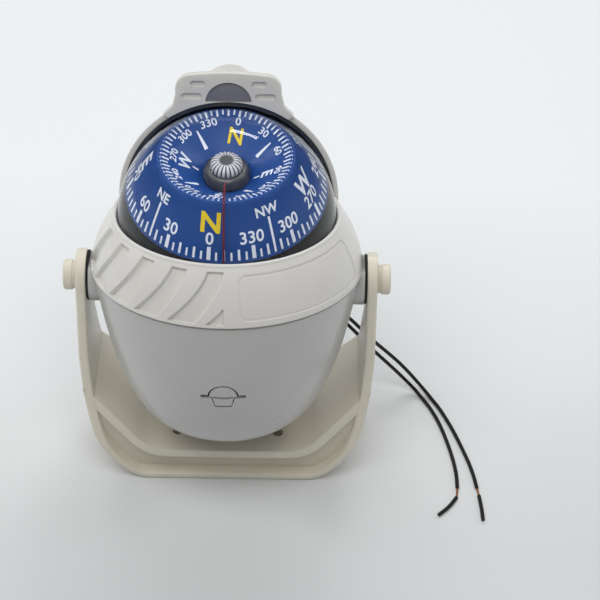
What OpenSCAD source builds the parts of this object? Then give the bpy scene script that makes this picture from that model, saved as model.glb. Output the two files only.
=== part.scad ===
// Bracket-mounted marine compass: a domed, liquid-filled capsule in a round bowl that tilts
// between the arms of a U-shaped bracket. Millimetres, +Z up, front towards -Y, right arm at +X.
// The origin is the centre of the bracket's underside. The bowl, its capsule and its hood are drawn
// about the bowl's own axis and leaned back together; the card and its gimbal hang level.

/* [Bracket] */
// Height of the tilt axis above the base
pivot_z = 88; // [87:0.5:96]
// Room between the bowl and the inner face of each arm
side_room = 2.5; // [2.3:0.1:5]
// Thickness of the arms
arm_wall = 3.9; // [3:0.1:6]
// Thickness of the bottom strip
strip_wall = 3.1; // [2:0.1:5]
// Depth of the bracket at its foot, front to back
foot_depth = 48; // [44:1:56]
// Radius of the round top of each arm
arm_top_r = 10.3; // [9:0.1:12]
// Height at which the arms start to lean inwards
bend_z = 59; // [54:1:62]
// Height of the inner floor above the base
floor_z = 16.5; // [14:0.5:20]
// Thickness of the inner floor
floor_wall = 4; // [2.5:0.1:5]
// How far the front panel stands back from the edges around it
panel_recess = 5; // [2:0.5:8]
// Thickness of the front panel
panel_wall = 3; // [2:0.1:4]
// Radius of each base screw hole
screw_hole_r = 2.2; // [1.5:0.1:3]
// Wall around each base screw hole
screw_boss_wall = 1.9; // [1.2:0.1:3]
// Distance between the base screw holes, left to right
screw_gap_x = 40; // [34:1:44]
// Distance between the base screw holes, front to back
screw_gap_y = 26; // [22:1:30]

/* [Knobs] */
// Radius of the knob head
knob_r = 5.9; // [5:0.1:8]
// Thickness of the knob head
knob_head = 3.6; // [2.5:0.1:6]
// Radius of the knob collar
collar_r = 5.4; // [4:0.1:6]
// Thickness of the knob collar
collar_t = 1.5; // [1:0.1:3]
// Radius of the threaded stud in each knob
stud_r = 2; // [1.5:0.1:2.5]
// Wall of the brass insert that takes the stud
insert_wall = 1.4; // [1:0.1:2]
// Length of the brass insert
insert_len = 7; // [5:0.5:9]
// Thickness of the friction washer
washer_t = 0.7; // [0.4:0.1:0.7]

/* [Bowl] */
// How far the bowl leans back as stored, in degrees
rest_lean = 13; // [8:0.5:16]
// Outer radius of the bowl at the seam
bowl_r = 50.9; // [48:0.1:56]
// Height of the seam above the tilt axis, along the bowl's axis
seam_w = 6.5; // [5:0.5:8]
// Depth of the bowl below the seam
bowl_deep = 67.5; // [65:0.5:69]
// Wall of the bowl
bowl_wall = 2.4; // [1.8:0.1:3]
// Radius of the round boss at each side, where the bowl turns
boss_r = 9.9; // [8:0.1:10.2]

/* [Bezel] */
// How far the bezel stands out past the bowl at the seam
bezel_step = 0.9; // [0.5:0.1:1.2]
// Height of the bezel's rim above the tilt axis
rim_w = 28; // [27:0.5:29]
// Width of the bezel's rim
rim_t = 1.9; // [1.2:0.1:2.4]
// How far the bezel's side bulges beyond a straight cone
bezel_bulge = 1.5; // [0.5:0.1:2.5]
// Depth of the slanted pockets in the bezel
pocket_deep = 1.2; // [0.6:0.1:1.6]
// Number of slanted pockets
pocket_n = 6; // [3:1:7]

/* [Capsule] */
// How far the dome's side stands in from the bowl's
dome_inset = 9.7; // [9.2:0.1:10.5]
// Wall of the dome
dome_wall = 1.8; // [1.4:0.1:2]
// How far the dome's centre lies below the bezel's rim
dome_sink = 2.8; // [2:0.1:3.5]
// Thickness of the dome's flange
flange_t = 2.5; // [1.5:0.1:3]
// Thickness of the ring seal under the flange
seal_t = 1.3; // [0.8:0.1:1.6]
// Depth of the capsule below the dome's centre, inside
capsule_deep = 28; // [26:0.5:30]
// Radius of the flexible diaphragm in the capsule's floor
diaphragm_r = 16; // [12:0.5:20]

/* [Hood] */
// Room between the dome and the hood
hood_room = 2.2; // [1.8:0.1:2.4]
// Wall of the hood
hood_wall = 2.2; // [1.8:0.1:2.4]
// How far the hood's front edge stands behind the dome's centre
hood_back = 17; // [14:0.5:20]
// Thickness of the black lining
liner_wall = 1.5; // [1:0.1:1.6]
// Half width of the lamp plate on top of the hood
tab_half = 19.9; // [17:0.1:21]
// How far the lamp plate stands up past the hood
tab_rise = 6.6; // [5.5:0.1:9]
// Thickness of the lamp plate
tab_t = 3; // [2:0.1:4]
// Half width of the lamp window
window_half = 8.6; // [7:0.1:9.5]
// Height of the lamp window
window_h = 8; // [6:0.1:8.5]
// Depth of the lamp box behind the plate
lamp_deep = 12; // [10:0.5:15]

/* [Card and gimbal] */
// How far the card's side leans in from its lower edge to its upper edge
card_taper = 6.6; // [5:0.1:9]
// Room between the card's upper edge and the dome
card_top_room = 5.75; // [5.2:0.05:8]
// Room between the card's lower edge and the gimbal ring
card_room = 4.8; // [4:0.1:7]
// Height of the card's lower edge above the dome's centre
card_low_h = 5; // [4.5:0.1:8]
// Thickness of the card's shells
card_wall = 0.9; // [0.6:0.1:1.2]
// Radius of the hub in the middle of the card
hub_r = 7; // [6:0.1:8]
// Height of the hub's lower edge above the dome's centre
hub_h = 16; // [14.5:0.1:17]
// Radius of the pivot post
post_r = 2.2; // [1.8:0.1:2.6]
// Width of the gimbal ring
ring_wall = 2.2; // [1.6:0.1:2.6]
// Radius of the gimbal pins
pin_r = 1; // [0.8:0.1:1.2]
// Thickness of the red lubber line
lubber_t = 0.7; // [0.4:0.1:1]
// Radius of the counterweight under the gimbal frame
weight_r = 13; // [10:0.5:15]

/* [Compensators] */
// Radius of each compensator rod
rod_r = 1.6; // [1.2:0.1:2]
// Height of the fore-and-aft rod above the tilt axis
fore_rod_w = -28; // [-30:0.5:-27]
// Height of the cross rod above the tilt axis
cross_rod_w = -22; // [-23:0.5:-20]
// Length of each compensator magnet
magnet_len = 12; // [8:0.5:13]
// Radius of the small cover on the bowl's front
cover_r = 5.2; // [4.5:0.1:6]

/* [Leads] */
// Radius of each lead
lead_r = 0.75; // [0.5:0.05:0.8]
// Radius of the sleeve where the leads leave the bowl
gland_r = 2.7; // [2.4:0.1:3.2]

/* [Hidden] */
$fn = 96;
fine = 32;

// Clearances and the overrun of every cut
gap = 0.3;
run_fit = 0.05;
over = 1;

shell_white = [0.86, 0.86, 0.84];
ivory = [0.86, 0.85, 0.79];
black = [0.09, 0.09, 0.1];
card_blue = [0.07, 0.2, 0.5];
steel = [0.72, 0.73, 0.75];
brass = [0.78, 0.62, 0.3];

// The bracket's outline, from the foot upwards: shares of its half width and of bend_z
arm_x_shares = [0.576, 0.634, 0.792, 0.913, 0.974, 1];
arm_z_shares = [0, 0.027, 0.164, 0.38, 0.688, 1];
arm_gap = bowl_r + side_room;
half_span = arm_gap + arm_wall;
arm_last = len(arm_x_shares) - 1;
inner_floor_x = 0.536 * half_span;
inner_floor_top_x = 0.903 * half_span;
inner_floor_top_z = 0.688 * bend_z;
floor_slope = (inner_floor_top_z - floor_z) / (inner_floor_top_x - inner_floor_x);
floor_drop = floor_wall * sqrt(1 + floor_slope * floor_slope);
panel_y = -foot_depth / 2 + panel_recess;
boss_hole_r = stud_r + gap;

// Where the trunnion boss, washer and knob lie along the tilt axis
washer_x = arm_gap - run_fit * 4 - washer_t;
knob_x = half_span + run_fit * 2;
insert_r = stud_r + run_fit + insert_wall;
inner_boss_r = insert_r + bowl_wall;

// The bowl's side is a superellipse: 1 at the seam, 0 at the bottom
bowl_power = 4.5;
bowl_depth_power = 1.1;
bowl_steps = 18;
function bowl_share(s) = pow(max(0, 1 - pow(s, bowl_depth_power)), 1 / bowl_power);
function bowl_profile(r, deep) = [for (i = [0:bowl_steps])
    [r * bowl_share(sin(90 * i / bowl_steps)), seam_w - deep * sin(90 * i / bowl_steps)]];
function bowl_r_at(w, r = bowl_r, deep = bowl_deep) = r * bowl_share((seam_w - w) / deep);
cavity_r = bowl_r - bowl_wall;
cavity_deep = bowl_deep - bowl_wall;

// The bezel's side is a circular arc from the seam to the rim
bezel_r = bowl_r + bezel_step;
dome_r = bowl_r - dome_inset;
rim_r = dome_r + gap;
rim_out_r = rim_r + rim_t;
bezel_steps = 10;
function bezel_point(t, grow = 0) = let (
    low = [bezel_r, seam_w], top = [rim_out_r, rim_w], run = top - low,
    out = [run[1], -run[0]] / norm(run))
    low + run * t + out * (4 * bezel_bulge * t * (1 - t) + grow);
function bezel_arc(grow = 0) = [for (i = [0:bezel_steps]) bezel_point(i / bezel_steps, grow)];

// Stack of the capsule joint, from the dome's flange downwards
flange_step = 2.2;
flange_drop = 8.2;
flange_r = dome_r + flange_step;
dome_w = rim_w - dome_sink;
flange_top = dome_w - flange_drop;
flange_low = flange_top - flange_t;
seal_low = flange_low - seal_t;
base_flange_t = flange_t;
base_low = seal_low - base_flange_t;
clamp_screw_r = 1.1;
clamp_circle_r = flange_r + gap + clamp_screw_r + over / 2;
base_edge = 0.7;
base_r = clamp_circle_r + clamp_screw_r + base_edge;
clamp_head_r = 1.9;
clamp_head_t = 1.4;
clamp_n = 6;
clamp_turn = 15;
dome_in_r = dome_r - dome_wall;
base_wall = 2;
plate_edge = 4;
plate_r = diaphragm_r + plate_edge;
diaphragm_t = 0.8;
clamp_ring_t = 1.2;
base_under = dome_w - capsule_deep - base_wall;
plug_r = 2;
plug_head_r = 3.2;
plug_head_t = 1.2;
plug_at = plate_r + plug_head_r + over;
small_r = 0.8;
small_head_r = 1.5;
small_head_t = 0.9;
small_bite = 1.4;
small_n = 4;
small_turn = 45;
small_circle_r = diaphragm_r + plate_edge / 2;
spigot_room = 0.2;
spigot_t = 1.5;
spigot_deep = 3.5;
spigot_r = bowl_r_at(seam_w - spigot_deep, cavity_r, cavity_deep) - spigot_room;
skirt_in_r = base_r + gap;

// The hood's foot sits on a ledge of the bezel
hood_in_r = dome_r + hood_room;
hood_r = hood_in_r + hood_wall;
tab_top = hood_r + tab_rise;
liner_out_r = hood_in_r - run_fit;
liner_in_r = liner_out_r - liner_wall;
foot_drop = 0.7;
foot_w = dome_w - foot_drop;
peg_r = 1;
peg_deep = 5;
peg_angles = [35, 75, 105, 145];
edge_r = sqrt(hood_r * hood_r - hood_back * hood_back);
inner_edge_r = sqrt(hood_in_r * hood_in_r - hood_back * hood_back);
window_lip = 0.4;
window_low = inner_edge_r + window_lip;
tab_corner = 6;
tab_low = 0.72 * edge_r;
lamp_wall = 1.6;
slot_shares = [[-0.66, 0.85, 0.285], [-0.8, 0.62, 0.385], [0.66, 0.85, 0.285], [0.8, 0.62, 0.385]];
slot_h = 2.6;
board_t = 1.2;
led_r = 1.5;
board_v = hood_back + tab_t / 2 + lamp_deep * 0.55;
lamp_lead_r = 0.6;
channel_room = 0.15;
channel_r = lamp_lead_r + channel_room;
channel_mid_r = hood_in_r + hood_wall * 0.55;
rib_wall = 0.9;
rib_r = channel_r + rib_wall;
channel_top_angle = 52;
channel_rise = window_low + channel_r - sin(channel_top_angle) * channel_mid_r + over;

// Gimbal: the ring turns about X in two ears, the frame about Y in the ring
ring_h = 2.8;
ear_t = 1.5;
ear_room = 0.8;
ear_in = dome_in_r - ear_room - ear_t;
ring_out_r = ear_in - gap;
ring_in_r = ring_out_r - ring_wall;
card_low_r = ring_in_r - card_room;
card_top_r = card_low_r - card_taper;
card_top_h = sqrt(dome_in_r * dome_in_r - card_top_r * card_top_r) - card_top_room;
ear_half = 4;
ear_top = 3;
bar_end = ring_in_r - gap;
pin_seat = 4;
bar_w = 5;
bar_h = 2.4;
hub_disc_r = 8;
bush_wall = 1.6;
bush_h = 9;
hub_room = 0.4;
bush_low = hub_h - hub_room - bush_h;
shoulder_r = post_r + bush_wall;
magnet_r = 1.8;
magnet_half = 8;
card_step = 1.1;
weight_h = 6;
weight_low = -20;
stem_r = 3;
hub_top_r = 0.76 * hub_r;
cap_r = 0.7 * hub_r;
cap_h = 3.2;
lubber_gap = 0.8;
lubber_side = 0.5;
lubber_foot = 1.4;
hub_dome_h = 3.4;
rib_n = 26;
rib_cut_r = 0.25;
crater_in_r = hub_r * 0.78;
crater_drop = 1.5;
crater_in_h = hub_h - crater_drop;
centre_y = dome_w * sin(rest_lean);
centre_z = pivot_z + dome_w * cos(rest_lean);

// Compensators
rod_boss_wall = 1.6;
rod_boss_r = rod_r + rod_boss_wall;
rod_set_in = 0.6;
collar_wall = 1.2;
collar_half = 2.6;
comp_magnet_r = 1.3;
slot_w = 0.7;
slot_deep = 0.8;
cover_rise = 1.2;
cover_w = fore_rod_w + cover_rise;
cover_tongue_half = 0.8 * cover_r;
cover_tongue_deep = 4.6;
cover_t = 1.6;
cover_seat = bowl_wall * 0.3;
cover_foot_room = 0.5;
side_slot_len = 3;
side_slot_h = 1.4;
hinge_r = 0.5;
hinge_above = 1;
hinge_reach = 1.2;
cover_hinge_w = cover_w - cover_tongue_deep + hinge_above;
cover_hinge_v = (bowl_r_at(cover_hinge_w)
    + bowl_r_at(cover_hinge_w, bowl_r - cover_t, bowl_deep - cover_t)) / 2;
cover_pin_half = 0.72 * cover_tongue_half + gap + hinge_reach;

// The leads: each point lies on the centre line, from the sleeve to the stripped end
left_route = [[33.4, 31, 45.1], [35.8, 31.05, 44.5], [38.4, 31.2, 43.2], [42, 31.6, 40.6], [46, 32, 36.6],
    [50.5, 31.8, 31.4], [55, 31, 26.2], [59.5, 30.3, 21], [64.5, 30, 15.4], [69.5, 29.6, 9.8],
    [73.5, 28.9, 5.4], [77, 27.2, 2.3], [80, 23.6, 0.9], [82.4, 19.4, 0.75], [84.6, 14.6, 0.75],
    [86.5, 9.4, 0.75], [88.2, 3.6, 0.75], [89.7, -2.6, 0.75], [91, -9, 0.75], [92, -15.4, 0.75],
    [92.5, -21.4, 0.75], [92.5, -27.4, 0.75]];
right_route = [[33.4, 31, 47], [35.8, 31, 46.8], [38.4, 31.1, 46], [42, 31.4, 44.2],
    [46, 31.7, 41], [50.5, 31.4, 36.2], [55, 30.8, 31.2], [59.5, 30.4, 26.2], [64.5, 30.2, 21],
    [69.5, 30, 15.6], [74, 29.6, 10.2], [78, 28.6, 5.4], [81.6, 26.2, 2.1], [84.6, 22.2, 0.85],
    [87.2, 17.4, 0.75], [89.7, 11.6, 0.75], [92, 5.6, 0.75], [94.2, -1, 0.75], [96.2, -7.6, 0.75],
    [98, -14, 0.75], [99.4, -20.6, 0.75], [100.4, -27.3, 0.75]];
left_bare = [[92.5, -27.4, 0.75], [92, -32.4, 0.75]];
right_bare = [[100.4, -27.3, 0.75], [101, -31.4, 0.75]];
left_sleeve = [[92, -32.4, 0.75], [88.6, -37.6, 0.75], [84.4, -42, 0.75]];
right_sleeve = [[101, -31.4, 0.75], [101.6, -37.8, 0.75], [101.9, -44.3, 0.75]];
bare_r = 0.35;
lead_sides = 8;
ring_step = 4;
exit_y = left_route[0][1];
exit_z = (left_route[0][2] + right_route[0][2]) / 2;
exit_x = left_route[0][0] - gap;
gland_v = exit_y * cos(rest_lean) - (exit_z - pivot_z) * sin(rest_lean);
gland_w = exit_y * sin(rest_lean) + (exit_z - pivot_z) * cos(rest_lean);
gland_wall = 1.2;
gland_rib = 0.35;
gland_boss_r = gland_r + gland_wall;
gland_boss_x = 22;
gland_in_x = 12;
lead_room = 0.05;
lead_bore_r = lead_r + lead_room;

// Leans a piece back about the tilt axis
module leaned() { translate([0, 0, pivot_z]) rotate([-rest_lean, 0, 0]) children(); }
// Places a piece level, about the dome's centre
module level() { translate([0, centre_y, centre_z]) children(); }
module along_x() { rotate([0, 90, 0]) children(); }
module along_y() { rotate([-90, 0, 0]) children(); }
module up_z(z) { translate([0, 0, z]) children(); }
module peg(r, h) { cylinder(r = r, h = h, $fn = fine); }
// Turns an outline in x and z into a plate from y0 to y1
module plate_xz(y0, y1) {
    translate([0, y1, 0]) rotate([90, 0, 0]) linear_extrude(y1 - y0) children();
}
// A ring of copies about the Z axis
module around(n, r, turn = 0) {
    for (i = [0:n - 1]) rotate([0, 0, turn + 360 * i / n]) translate([r, 0, 0]) children();
}
module tube_of(r_out, r_in, h) {
    difference() {
        cylinder(r = r_out, h = h);
        translate([0, 0, -over]) cylinder(r = r_in, h = h + 2 * over);
    }
}

// Bracket: a U strip with an inner floor, a recessed front panel and four screw bosses
function outline_side(s, x_in, z_in) = [for (i = [0:arm_last])
    [s * (half_span - x_in) * arm_x_shares[i], z_in + (bend_z - z_in) * arm_z_shares[i]]];
function reversed(v) = [for (i = [len(v) - 1:-1:0]) v[i]];
function u_outline(x_in, z_in, top) = concat([[-half_span + x_in, top]],
    reversed(outline_side(-1, x_in, z_in)), outline_side(1, x_in, z_in), [[half_span - x_in, top]]);
module arm_side() {
    y1 = arm_top_r;
    top_z = pivot_z;
    polygon([[-foot_depth / 2, 0], [foot_depth / 2, 0], [foot_depth / 2, floor_z],
        [y1, top_z], [-y1, top_z], [-foot_depth / 2, floor_z]]);
    translate([0, top_z]) circle(r = arm_top_r);
}
module floor_outline(drop) {
    polygon([[-inner_floor_top_x, inner_floor_top_z - drop], [-inner_floor_x, floor_z - drop],
        [inner_floor_x, floor_z - drop], [inner_floor_top_x, inner_floor_top_z - drop],
        [half_span, inner_floor_top_z], [half_span, -over], [-half_span, -over],
        [-half_span, inner_floor_top_z]]);
}
module bracket() {
    top = pivot_z + arm_top_r + over;
    color(ivory) difference() {
        intersection() {
            union() {
                plate_xz(-foot_depth / 2, foot_depth / 2) difference() {
                    polygon(u_outline(0, 0, top));
                    polygon(u_outline(arm_wall, strip_wall, top + over));
                }
                plate_xz(-foot_depth / 2, foot_depth / 2) intersection() {
                    polygon(u_outline(arm_wall / 2, strip_wall / 2, top));
                    difference() {
                        floor_outline(0);
                        polygon([[-inner_floor_top_x - floor_wall, inner_floor_top_z - floor_drop],
                            [-inner_floor_x, floor_z - floor_wall],
                            [inner_floor_x, floor_z - floor_wall],
                            [inner_floor_top_x + floor_wall, inner_floor_top_z - floor_drop],
                            [half_span, -2 * over], [-half_span, -2 * over]]);
                    }
                }
                plate_xz(panel_y, panel_y + panel_wall) intersection() {
                    polygon(u_outline(arm_wall / 2, strip_wall / 2, top));
                    floor_outline(floor_wall / 2);
                }
                for (x = [-1, 1], y = [-1, 1])
                    translate([x * screw_gap_x / 2, y * screw_gap_y / 2, strip_wall / 2])
                        cylinder(r = screw_hole_r + screw_boss_wall, h = floor_z - strip_wall / 2 - over);
            }
            translate([-half_span - over, 0, 0]) rotate([90, 0, 90])
                linear_extrude(2 * (half_span + over)) arm_side();
        }
        for (x = [-1, 1], y = [-1, 1])
            translate([x * screw_gap_x / 2, y * screw_gap_y / 2, -over])
                cylinder(r = screw_hole_r, h = floor_z + 2 * over);
        translate([-half_span - over, 0, pivot_z]) along_x()
            cylinder(r = boss_hole_r, h = 2 * (half_span + over));
    }
}

// Knobs: a round head with a collar, and a steel stud moulded into it
knob_edge = 0.8;
stud_seat = knob_head / 2;
module knob(s) {
    color(ivory) translate([s * knob_x, 0, pivot_z]) rotate([0, s * 90, 0]) difference() {
        union() {
            cylinder(r = collar_r, h = collar_t);
            translate([0, 0, collar_t]) rotate_extrude() polygon([[0, 0], [knob_r - knob_edge / 2, 0],
                [knob_r, knob_edge / 2], [knob_r, knob_head - knob_edge],
                [knob_r - knob_edge / 4, knob_head - knob_edge / 4], [knob_r - knob_edge, knob_head],
                [0, knob_head]]);
        }
        translate([0, 0, -over]) cylinder(r = stud_r, h = over + collar_t + stud_seat);
    }
}
module stud(s) {
    inner = washer_x - insert_len + over / 2;
    color(steel) translate([s * inner, 0, pivot_z]) rotate([0, s * 90, 0])
        cylinder(r = stud_r, h = knob_x + collar_t + stud_seat - inner);
}
module washer(s) {
    color(black) translate([s * washer_x, 0, pivot_z]) rotate([0, s * 90, 0])
        tube_of(boss_r - gap, boss_hole_r, washer_t);
}
module insert(s) {
    color(brass) translate([s * (washer_x - insert_len), 0, pivot_z]) rotate([0, s * 90, 0])
        tube_of(insert_r, stud_r + run_fit, insert_len);
}
module left_knob() { knob(-1); }
module right_knob() { knob(1); }
module left_stud() { stud(-1); }
module right_stud() { stud(1); }
module left_washer() { washer(-1); }
module right_washer() { washer(1); }
module left_insert() { insert(-1); }
module right_insert() { insert(1); }

// Bowl: a deep round shell with side bosses, rod bosses and an outlet for the leads
module cover_outline(grow) {
    intersection() {
        circle(r = cover_r + grow);
        translate([-cover_r - over, -gap - grow]) square([2 * (cover_r + over), cover_r + grow + over]);
    }
    polygon([[-cover_tongue_half - grow, 0], [cover_tongue_half + grow, 0],
        [0.72 * cover_tongue_half + grow, -cover_tongue_deep - grow],
        [-0.72 * cover_tongue_half - grow, -cover_tongue_deep - grow]]);
}
module through_front(w) {
    up_z(w) rotate([90, 0, 0]) linear_extrude(bowl_r + over) children();
}
module bowl_solid(grow) {
    rotate_extrude() polygon(concat([[0, seam_w]], bowl_profile(bowl_r + grow, bowl_deep + grow)));
}
module cavity() {
    rotate_extrude() polygon(concat([[0, seam_w + over], [cavity_r, seam_w + over]],
        bowl_profile(cavity_r, cavity_deep)));
}
fore_rod_front = bowl_r_at(fore_rod_w, cavity_r, cavity_deep) - over / 2;
fore_rod_len = 1.9 * fore_rod_front;
cross_rod_end = bowl_r_at(cross_rod_w) - rod_set_in;
cross_rod_len = 1.9 * bowl_r_at(cross_rod_w, cavity_r, cavity_deep);
module bowl() {
    color(shell_white) leaned() difference() {
        union() {
            difference() {
                union() {
                    bowl_solid(0);
                    intersection() {
                        translate([-washer_x, 0, 0]) along_x() cylinder(r = boss_r, h = 2 * washer_x);
                        translate([-bezel_r - over, -bezel_r, seam_w - 3 * boss_r])
                            cube([2 * (bezel_r + over), 2 * bezel_r, 3 * boss_r]);
                    }
                    translate([gland_in_x, gland_v, gland_w]) along_x()
                        cylinder(r = gland_boss_r, h = gland_boss_x - gland_in_x);
                }
                cavity();
            }
            intersection() {
                bowl_solid(0);
                union() {
                    for (s = [0, 180]) rotate([0, 0, s]) translate([washer_x - insert_len - bowl_wall, 0, 0])
                        along_x() cylinder(r = inner_boss_r, h = insert_len);
                    translate([0, fore_rod_front - 2 * bowl_wall, fore_rod_w]) along_y()
                        cylinder(r = rod_boss_r, h = 3 * bowl_wall);
                    translate([0, -fore_rod_front - bowl_wall, fore_rod_w]) along_y()
                        cylinder(r = rod_boss_r, h = 2.5 * bowl_wall);
                    translate([-cross_rod_end, 0, cross_rod_w]) along_x()
                        cylinder(r = rod_boss_r, h = 3 * bowl_wall);
                    translate([cross_rod_end - 3 * bowl_wall, 0, cross_rod_w]) along_x()
                        cylinder(r = rod_boss_r, h = 3 * bowl_wall);
                }
            }
        }
        for (s = [0, 180]) rotate([0, 0, s]) translate([washer_x - insert_len, 0, 0]) along_x()
            cylinder(r = insert_r, h = insert_len + over);
        // Rod bores, open at the front and at the right
        translate([0, -bowl_r, fore_rod_w]) along_y()
            cylinder(r = rod_r + run_fit, h = bowl_r - fore_rod_front + fore_rod_len + gap);
        translate([cross_rod_end - cross_rod_len - gap, 0, cross_rod_w]) along_x()
            cylinder(r = rod_r + run_fit, h = cross_rod_len + bowl_wall * 2);
        // Seat of the small cover, its finger slots and its hinge line
        difference() {
            through_front(cover_w) {
                cover_outline(gap);
                translate([0, -cover_foot_room]) cover_outline(gap);
            }
            bowl_solid(-cover_t - cover_seat);
        }
        translate([-cover_pin_half - gap, -cover_hinge_v, cover_hinge_w]) along_x()
            cylinder(r = hinge_r + run_fit, h = 2 * (cover_pin_half + gap), $fn = fine);
        difference() {
            through_front(cover_w) for (s = [-1, 1])
                translate([s * (cover_r + side_slot_len / 2 + gap / 2) - side_slot_len / 2, -side_slot_h / 2])
                    square([side_slot_len, side_slot_h]);
            bowl_solid(-cover_t);
        }
        // Outlet bore for the leads
        translate([gland_in_x - over, gland_v, gland_w]) along_x()
            cylinder(r = gland_r, h = gland_boss_x - gland_in_x + 2 * over);
        translate([gland_in_x - 3 * gland_r, gland_v - gland_r / 2, gland_w]) along_x()
            cylinder(r = gland_r * 0.8, h = 4 * gland_r);
    }
}

// Bezel: clamps the dome's flange; its left half has slanted pockets
module bezel_body(grow) {
    rotate_extrude() polygon(concat([[rim_r, rim_w + grow]], [for (p = reversed(bezel_arc(grow))) p],
        [[bezel_r + grow, seam_w], [rim_r, seam_w]]));
}
pocket_step = 16.5;
pocket_first = 9;
pocket_w = 7;
pocket_slant = 34;
module pocket_prism(k) {
    // The pockets lean to the right at the top; the first one is clipped by the middle strip
    middle = (seam_w + rim_w) / 2;
    rotate([0, 0, -90 - pocket_first - pocket_step * k]) translate([0, 0, middle]) rotate([pocket_slant, 0, 0])
        translate([rim_r * 0.8, -pocket_w / 2, -0.36 * (rim_w - seam_w)])
            cube([bezel_r, pocket_w, 0.72 * (rim_w - seam_w)]);
}
module bezel() {
    color(shell_white) leaned() difference() {
        union() {
            difference() {
                bezel_body(0);
                difference() {
                    intersection() {
                        union() { for (k = [0:pocket_n - 1]) pocket_prism(k); }
                        translate([-2 * bezel_r, -2 * bezel_r, seam_w + rim_t])
                            cube([2 * bezel_r - 1.5 * rim_t, 4 * bezel_r, rim_w - seam_w - 2 * rim_t]);
                    }
                    bezel_body(-pocket_deep);
                }
            }
            translate([0, 0, seam_w - spigot_deep]) tube_of(spigot_r, spigot_r - spigot_t, spigot_deep + over);
        }
        // Room for the capsule: the base flange, the seal, the dome's flange and the dome
        up_z(seam_w - spigot_deep - over)
            cylinder(r = spigot_r - spigot_t, h = spigot_deep + over * 2);
        translate([0, 0, seam_w]) cylinder(r = skirt_in_r, h = seal_low - seam_w);
        translate([0, 0, seam_w]) cylinder(r = flange_r + gap, h = flange_top + run_fit - seam_w);
        around(clamp_n, clamp_circle_r, clamp_turn) translate([0, 0, seal_low - over])
            cylinder(r = clamp_screw_r, h = flange_top + over * 2 - seal_low);
        // Notches in the spigot for the bowl's inner bosses
        translate([-bezel_r, 0, 0]) along_x() cylinder(r = inner_boss_r + gap, h = 2 * bezel_r);
        // The ledge that carries the hood's foot, and its peg holes
        translate([-2 * bezel_r, hood_back - tab_t / 2 - gap, foot_w]) cube([4 * bezel_r, 2 * bezel_r, rim_w]);
        for (a = peg_angles) rotate([0, 0, a])
            translate([(hood_in_r + hood_r) / 2, 0, foot_w - peg_deep - gap])
                peg(peg_r + run_fit, peg_deep + over);
        translate([0, channel_mid_r, seam_w]) cylinder(r = channel_r, h = rim_w - seam_w, $fn = fine);
    }
}
module capsule_screws() {
    color(steel) leaned() around(clamp_n, clamp_circle_r, clamp_turn) {
        translate([0, 0, base_low - clamp_head_t]) cylinder(r = clamp_head_r, h = clamp_head_t, $fn = fine);
        up_z(base_low - over / 2) peg(clamp_screw_r, flange_top + over - base_low);
    }
}

// Hood: a part of a sphere behind the dome, with the lamp plate and lamp box on top
module half_ellipse(half, h) {
    intersection() {
        scale([half, h]) circle(r = 1);
        translate([-half, 0]) square([2 * half, h]);
    }
}
module tab_outline() {
    translate([-tab_half, tab_low]) square([2 * tab_half, tab_top - tab_corner - tab_low]);
    translate([-tab_half + tab_corner, tab_low]) square([2 * (tab_half - tab_corner), tab_top - tab_low]);
    for (s = [-1, 1]) translate([s * (tab_half - tab_corner), tab_top - tab_corner]) circle(r = tab_corner);
}
module plate_xw(v0, v1) { translate([0, 0, dome_w]) plate_xz(v0, v1) children(); }
module hood_sphere(r) { translate([0, 0, dome_w]) sphere(r = r); }
module behind_plane(v) { translate([-2 * hood_r, v, foot_w]) cube([4 * hood_r, 4 * hood_r, 4 * hood_r]); }
module rear_arc(r) {
    // From the foot at the back up to the lamp box
    translate([0, 0, dome_w]) rotate([90, 0, 90]) rotate_extrude(angle = channel_top_angle)
        translate([channel_mid_r, 0]) circle(r = r, $fn = fine);
    translate([0, channel_mid_r, foot_w]) cylinder(r = r, h = dome_w - foot_w + run_fit, $fn = fine);
    translate([0, cos(channel_top_angle) * channel_mid_r, dome_w + sin(channel_top_angle) * channel_mid_r])
        cylinder(r = r, h = channel_rise, $fn = fine);
}
module hood() {
    color(shell_white) leaned() difference() {
        union() {
            intersection() {
                hood_sphere(hood_r);
                behind_plane(hood_back);
            }
            intersection() {
                rear_arc(rib_r);
                behind_plane(hood_back);
            }
            difference() {
                plate_xw(hood_back - tab_t / 2, hood_back + tab_t / 2) tab_outline();
                for (q = slot_shares)
                    let (slot_w = q[2] * tab_half, slot_x = q[0] * (tab_half - slot_h),
                         slot_y = tab_top - (1 - q[1]) * (tab_top - tab_low) - slot_h)
                        plate_xw(hood_back - tab_t, hood_back)
                            translate([slot_x - slot_w / 2, slot_y]) square([slot_w, slot_h]);
            }
            plate_xw(hood_back, hood_back + tab_t / 2 + lamp_deep) {
                translate([0, window_low]) half_ellipse(window_half + lamp_wall, window_h + lamp_wall);
                translate([-window_half - lamp_wall, 0.6 * window_low])
                    square([2 * (window_half + lamp_wall), 0.4 * window_low]);
            }
            for (a = peg_angles) rotate([0, 0, a]) translate([(hood_in_r + hood_r) / 2, 0, foot_w - peg_deep])
                cylinder(r = peg_r, h = peg_deep + over, $fn = fine);
        }
        hood_sphere(hood_in_r);
        plate_xw(hood_back - tab_t, hood_back + tab_t / 2 + lamp_deep - lamp_wall)
            translate([0, window_low]) half_ellipse(window_half, window_h);
        rear_arc(channel_r);
    }
}
module hood_liner() {
    color(black) leaned() difference() {
        intersection() {
            hood_sphere(liner_out_r);
            behind_plane(hood_back - tab_t / 2 + gap);
        }
        hood_sphere(liner_in_r);
    }
}
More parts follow.
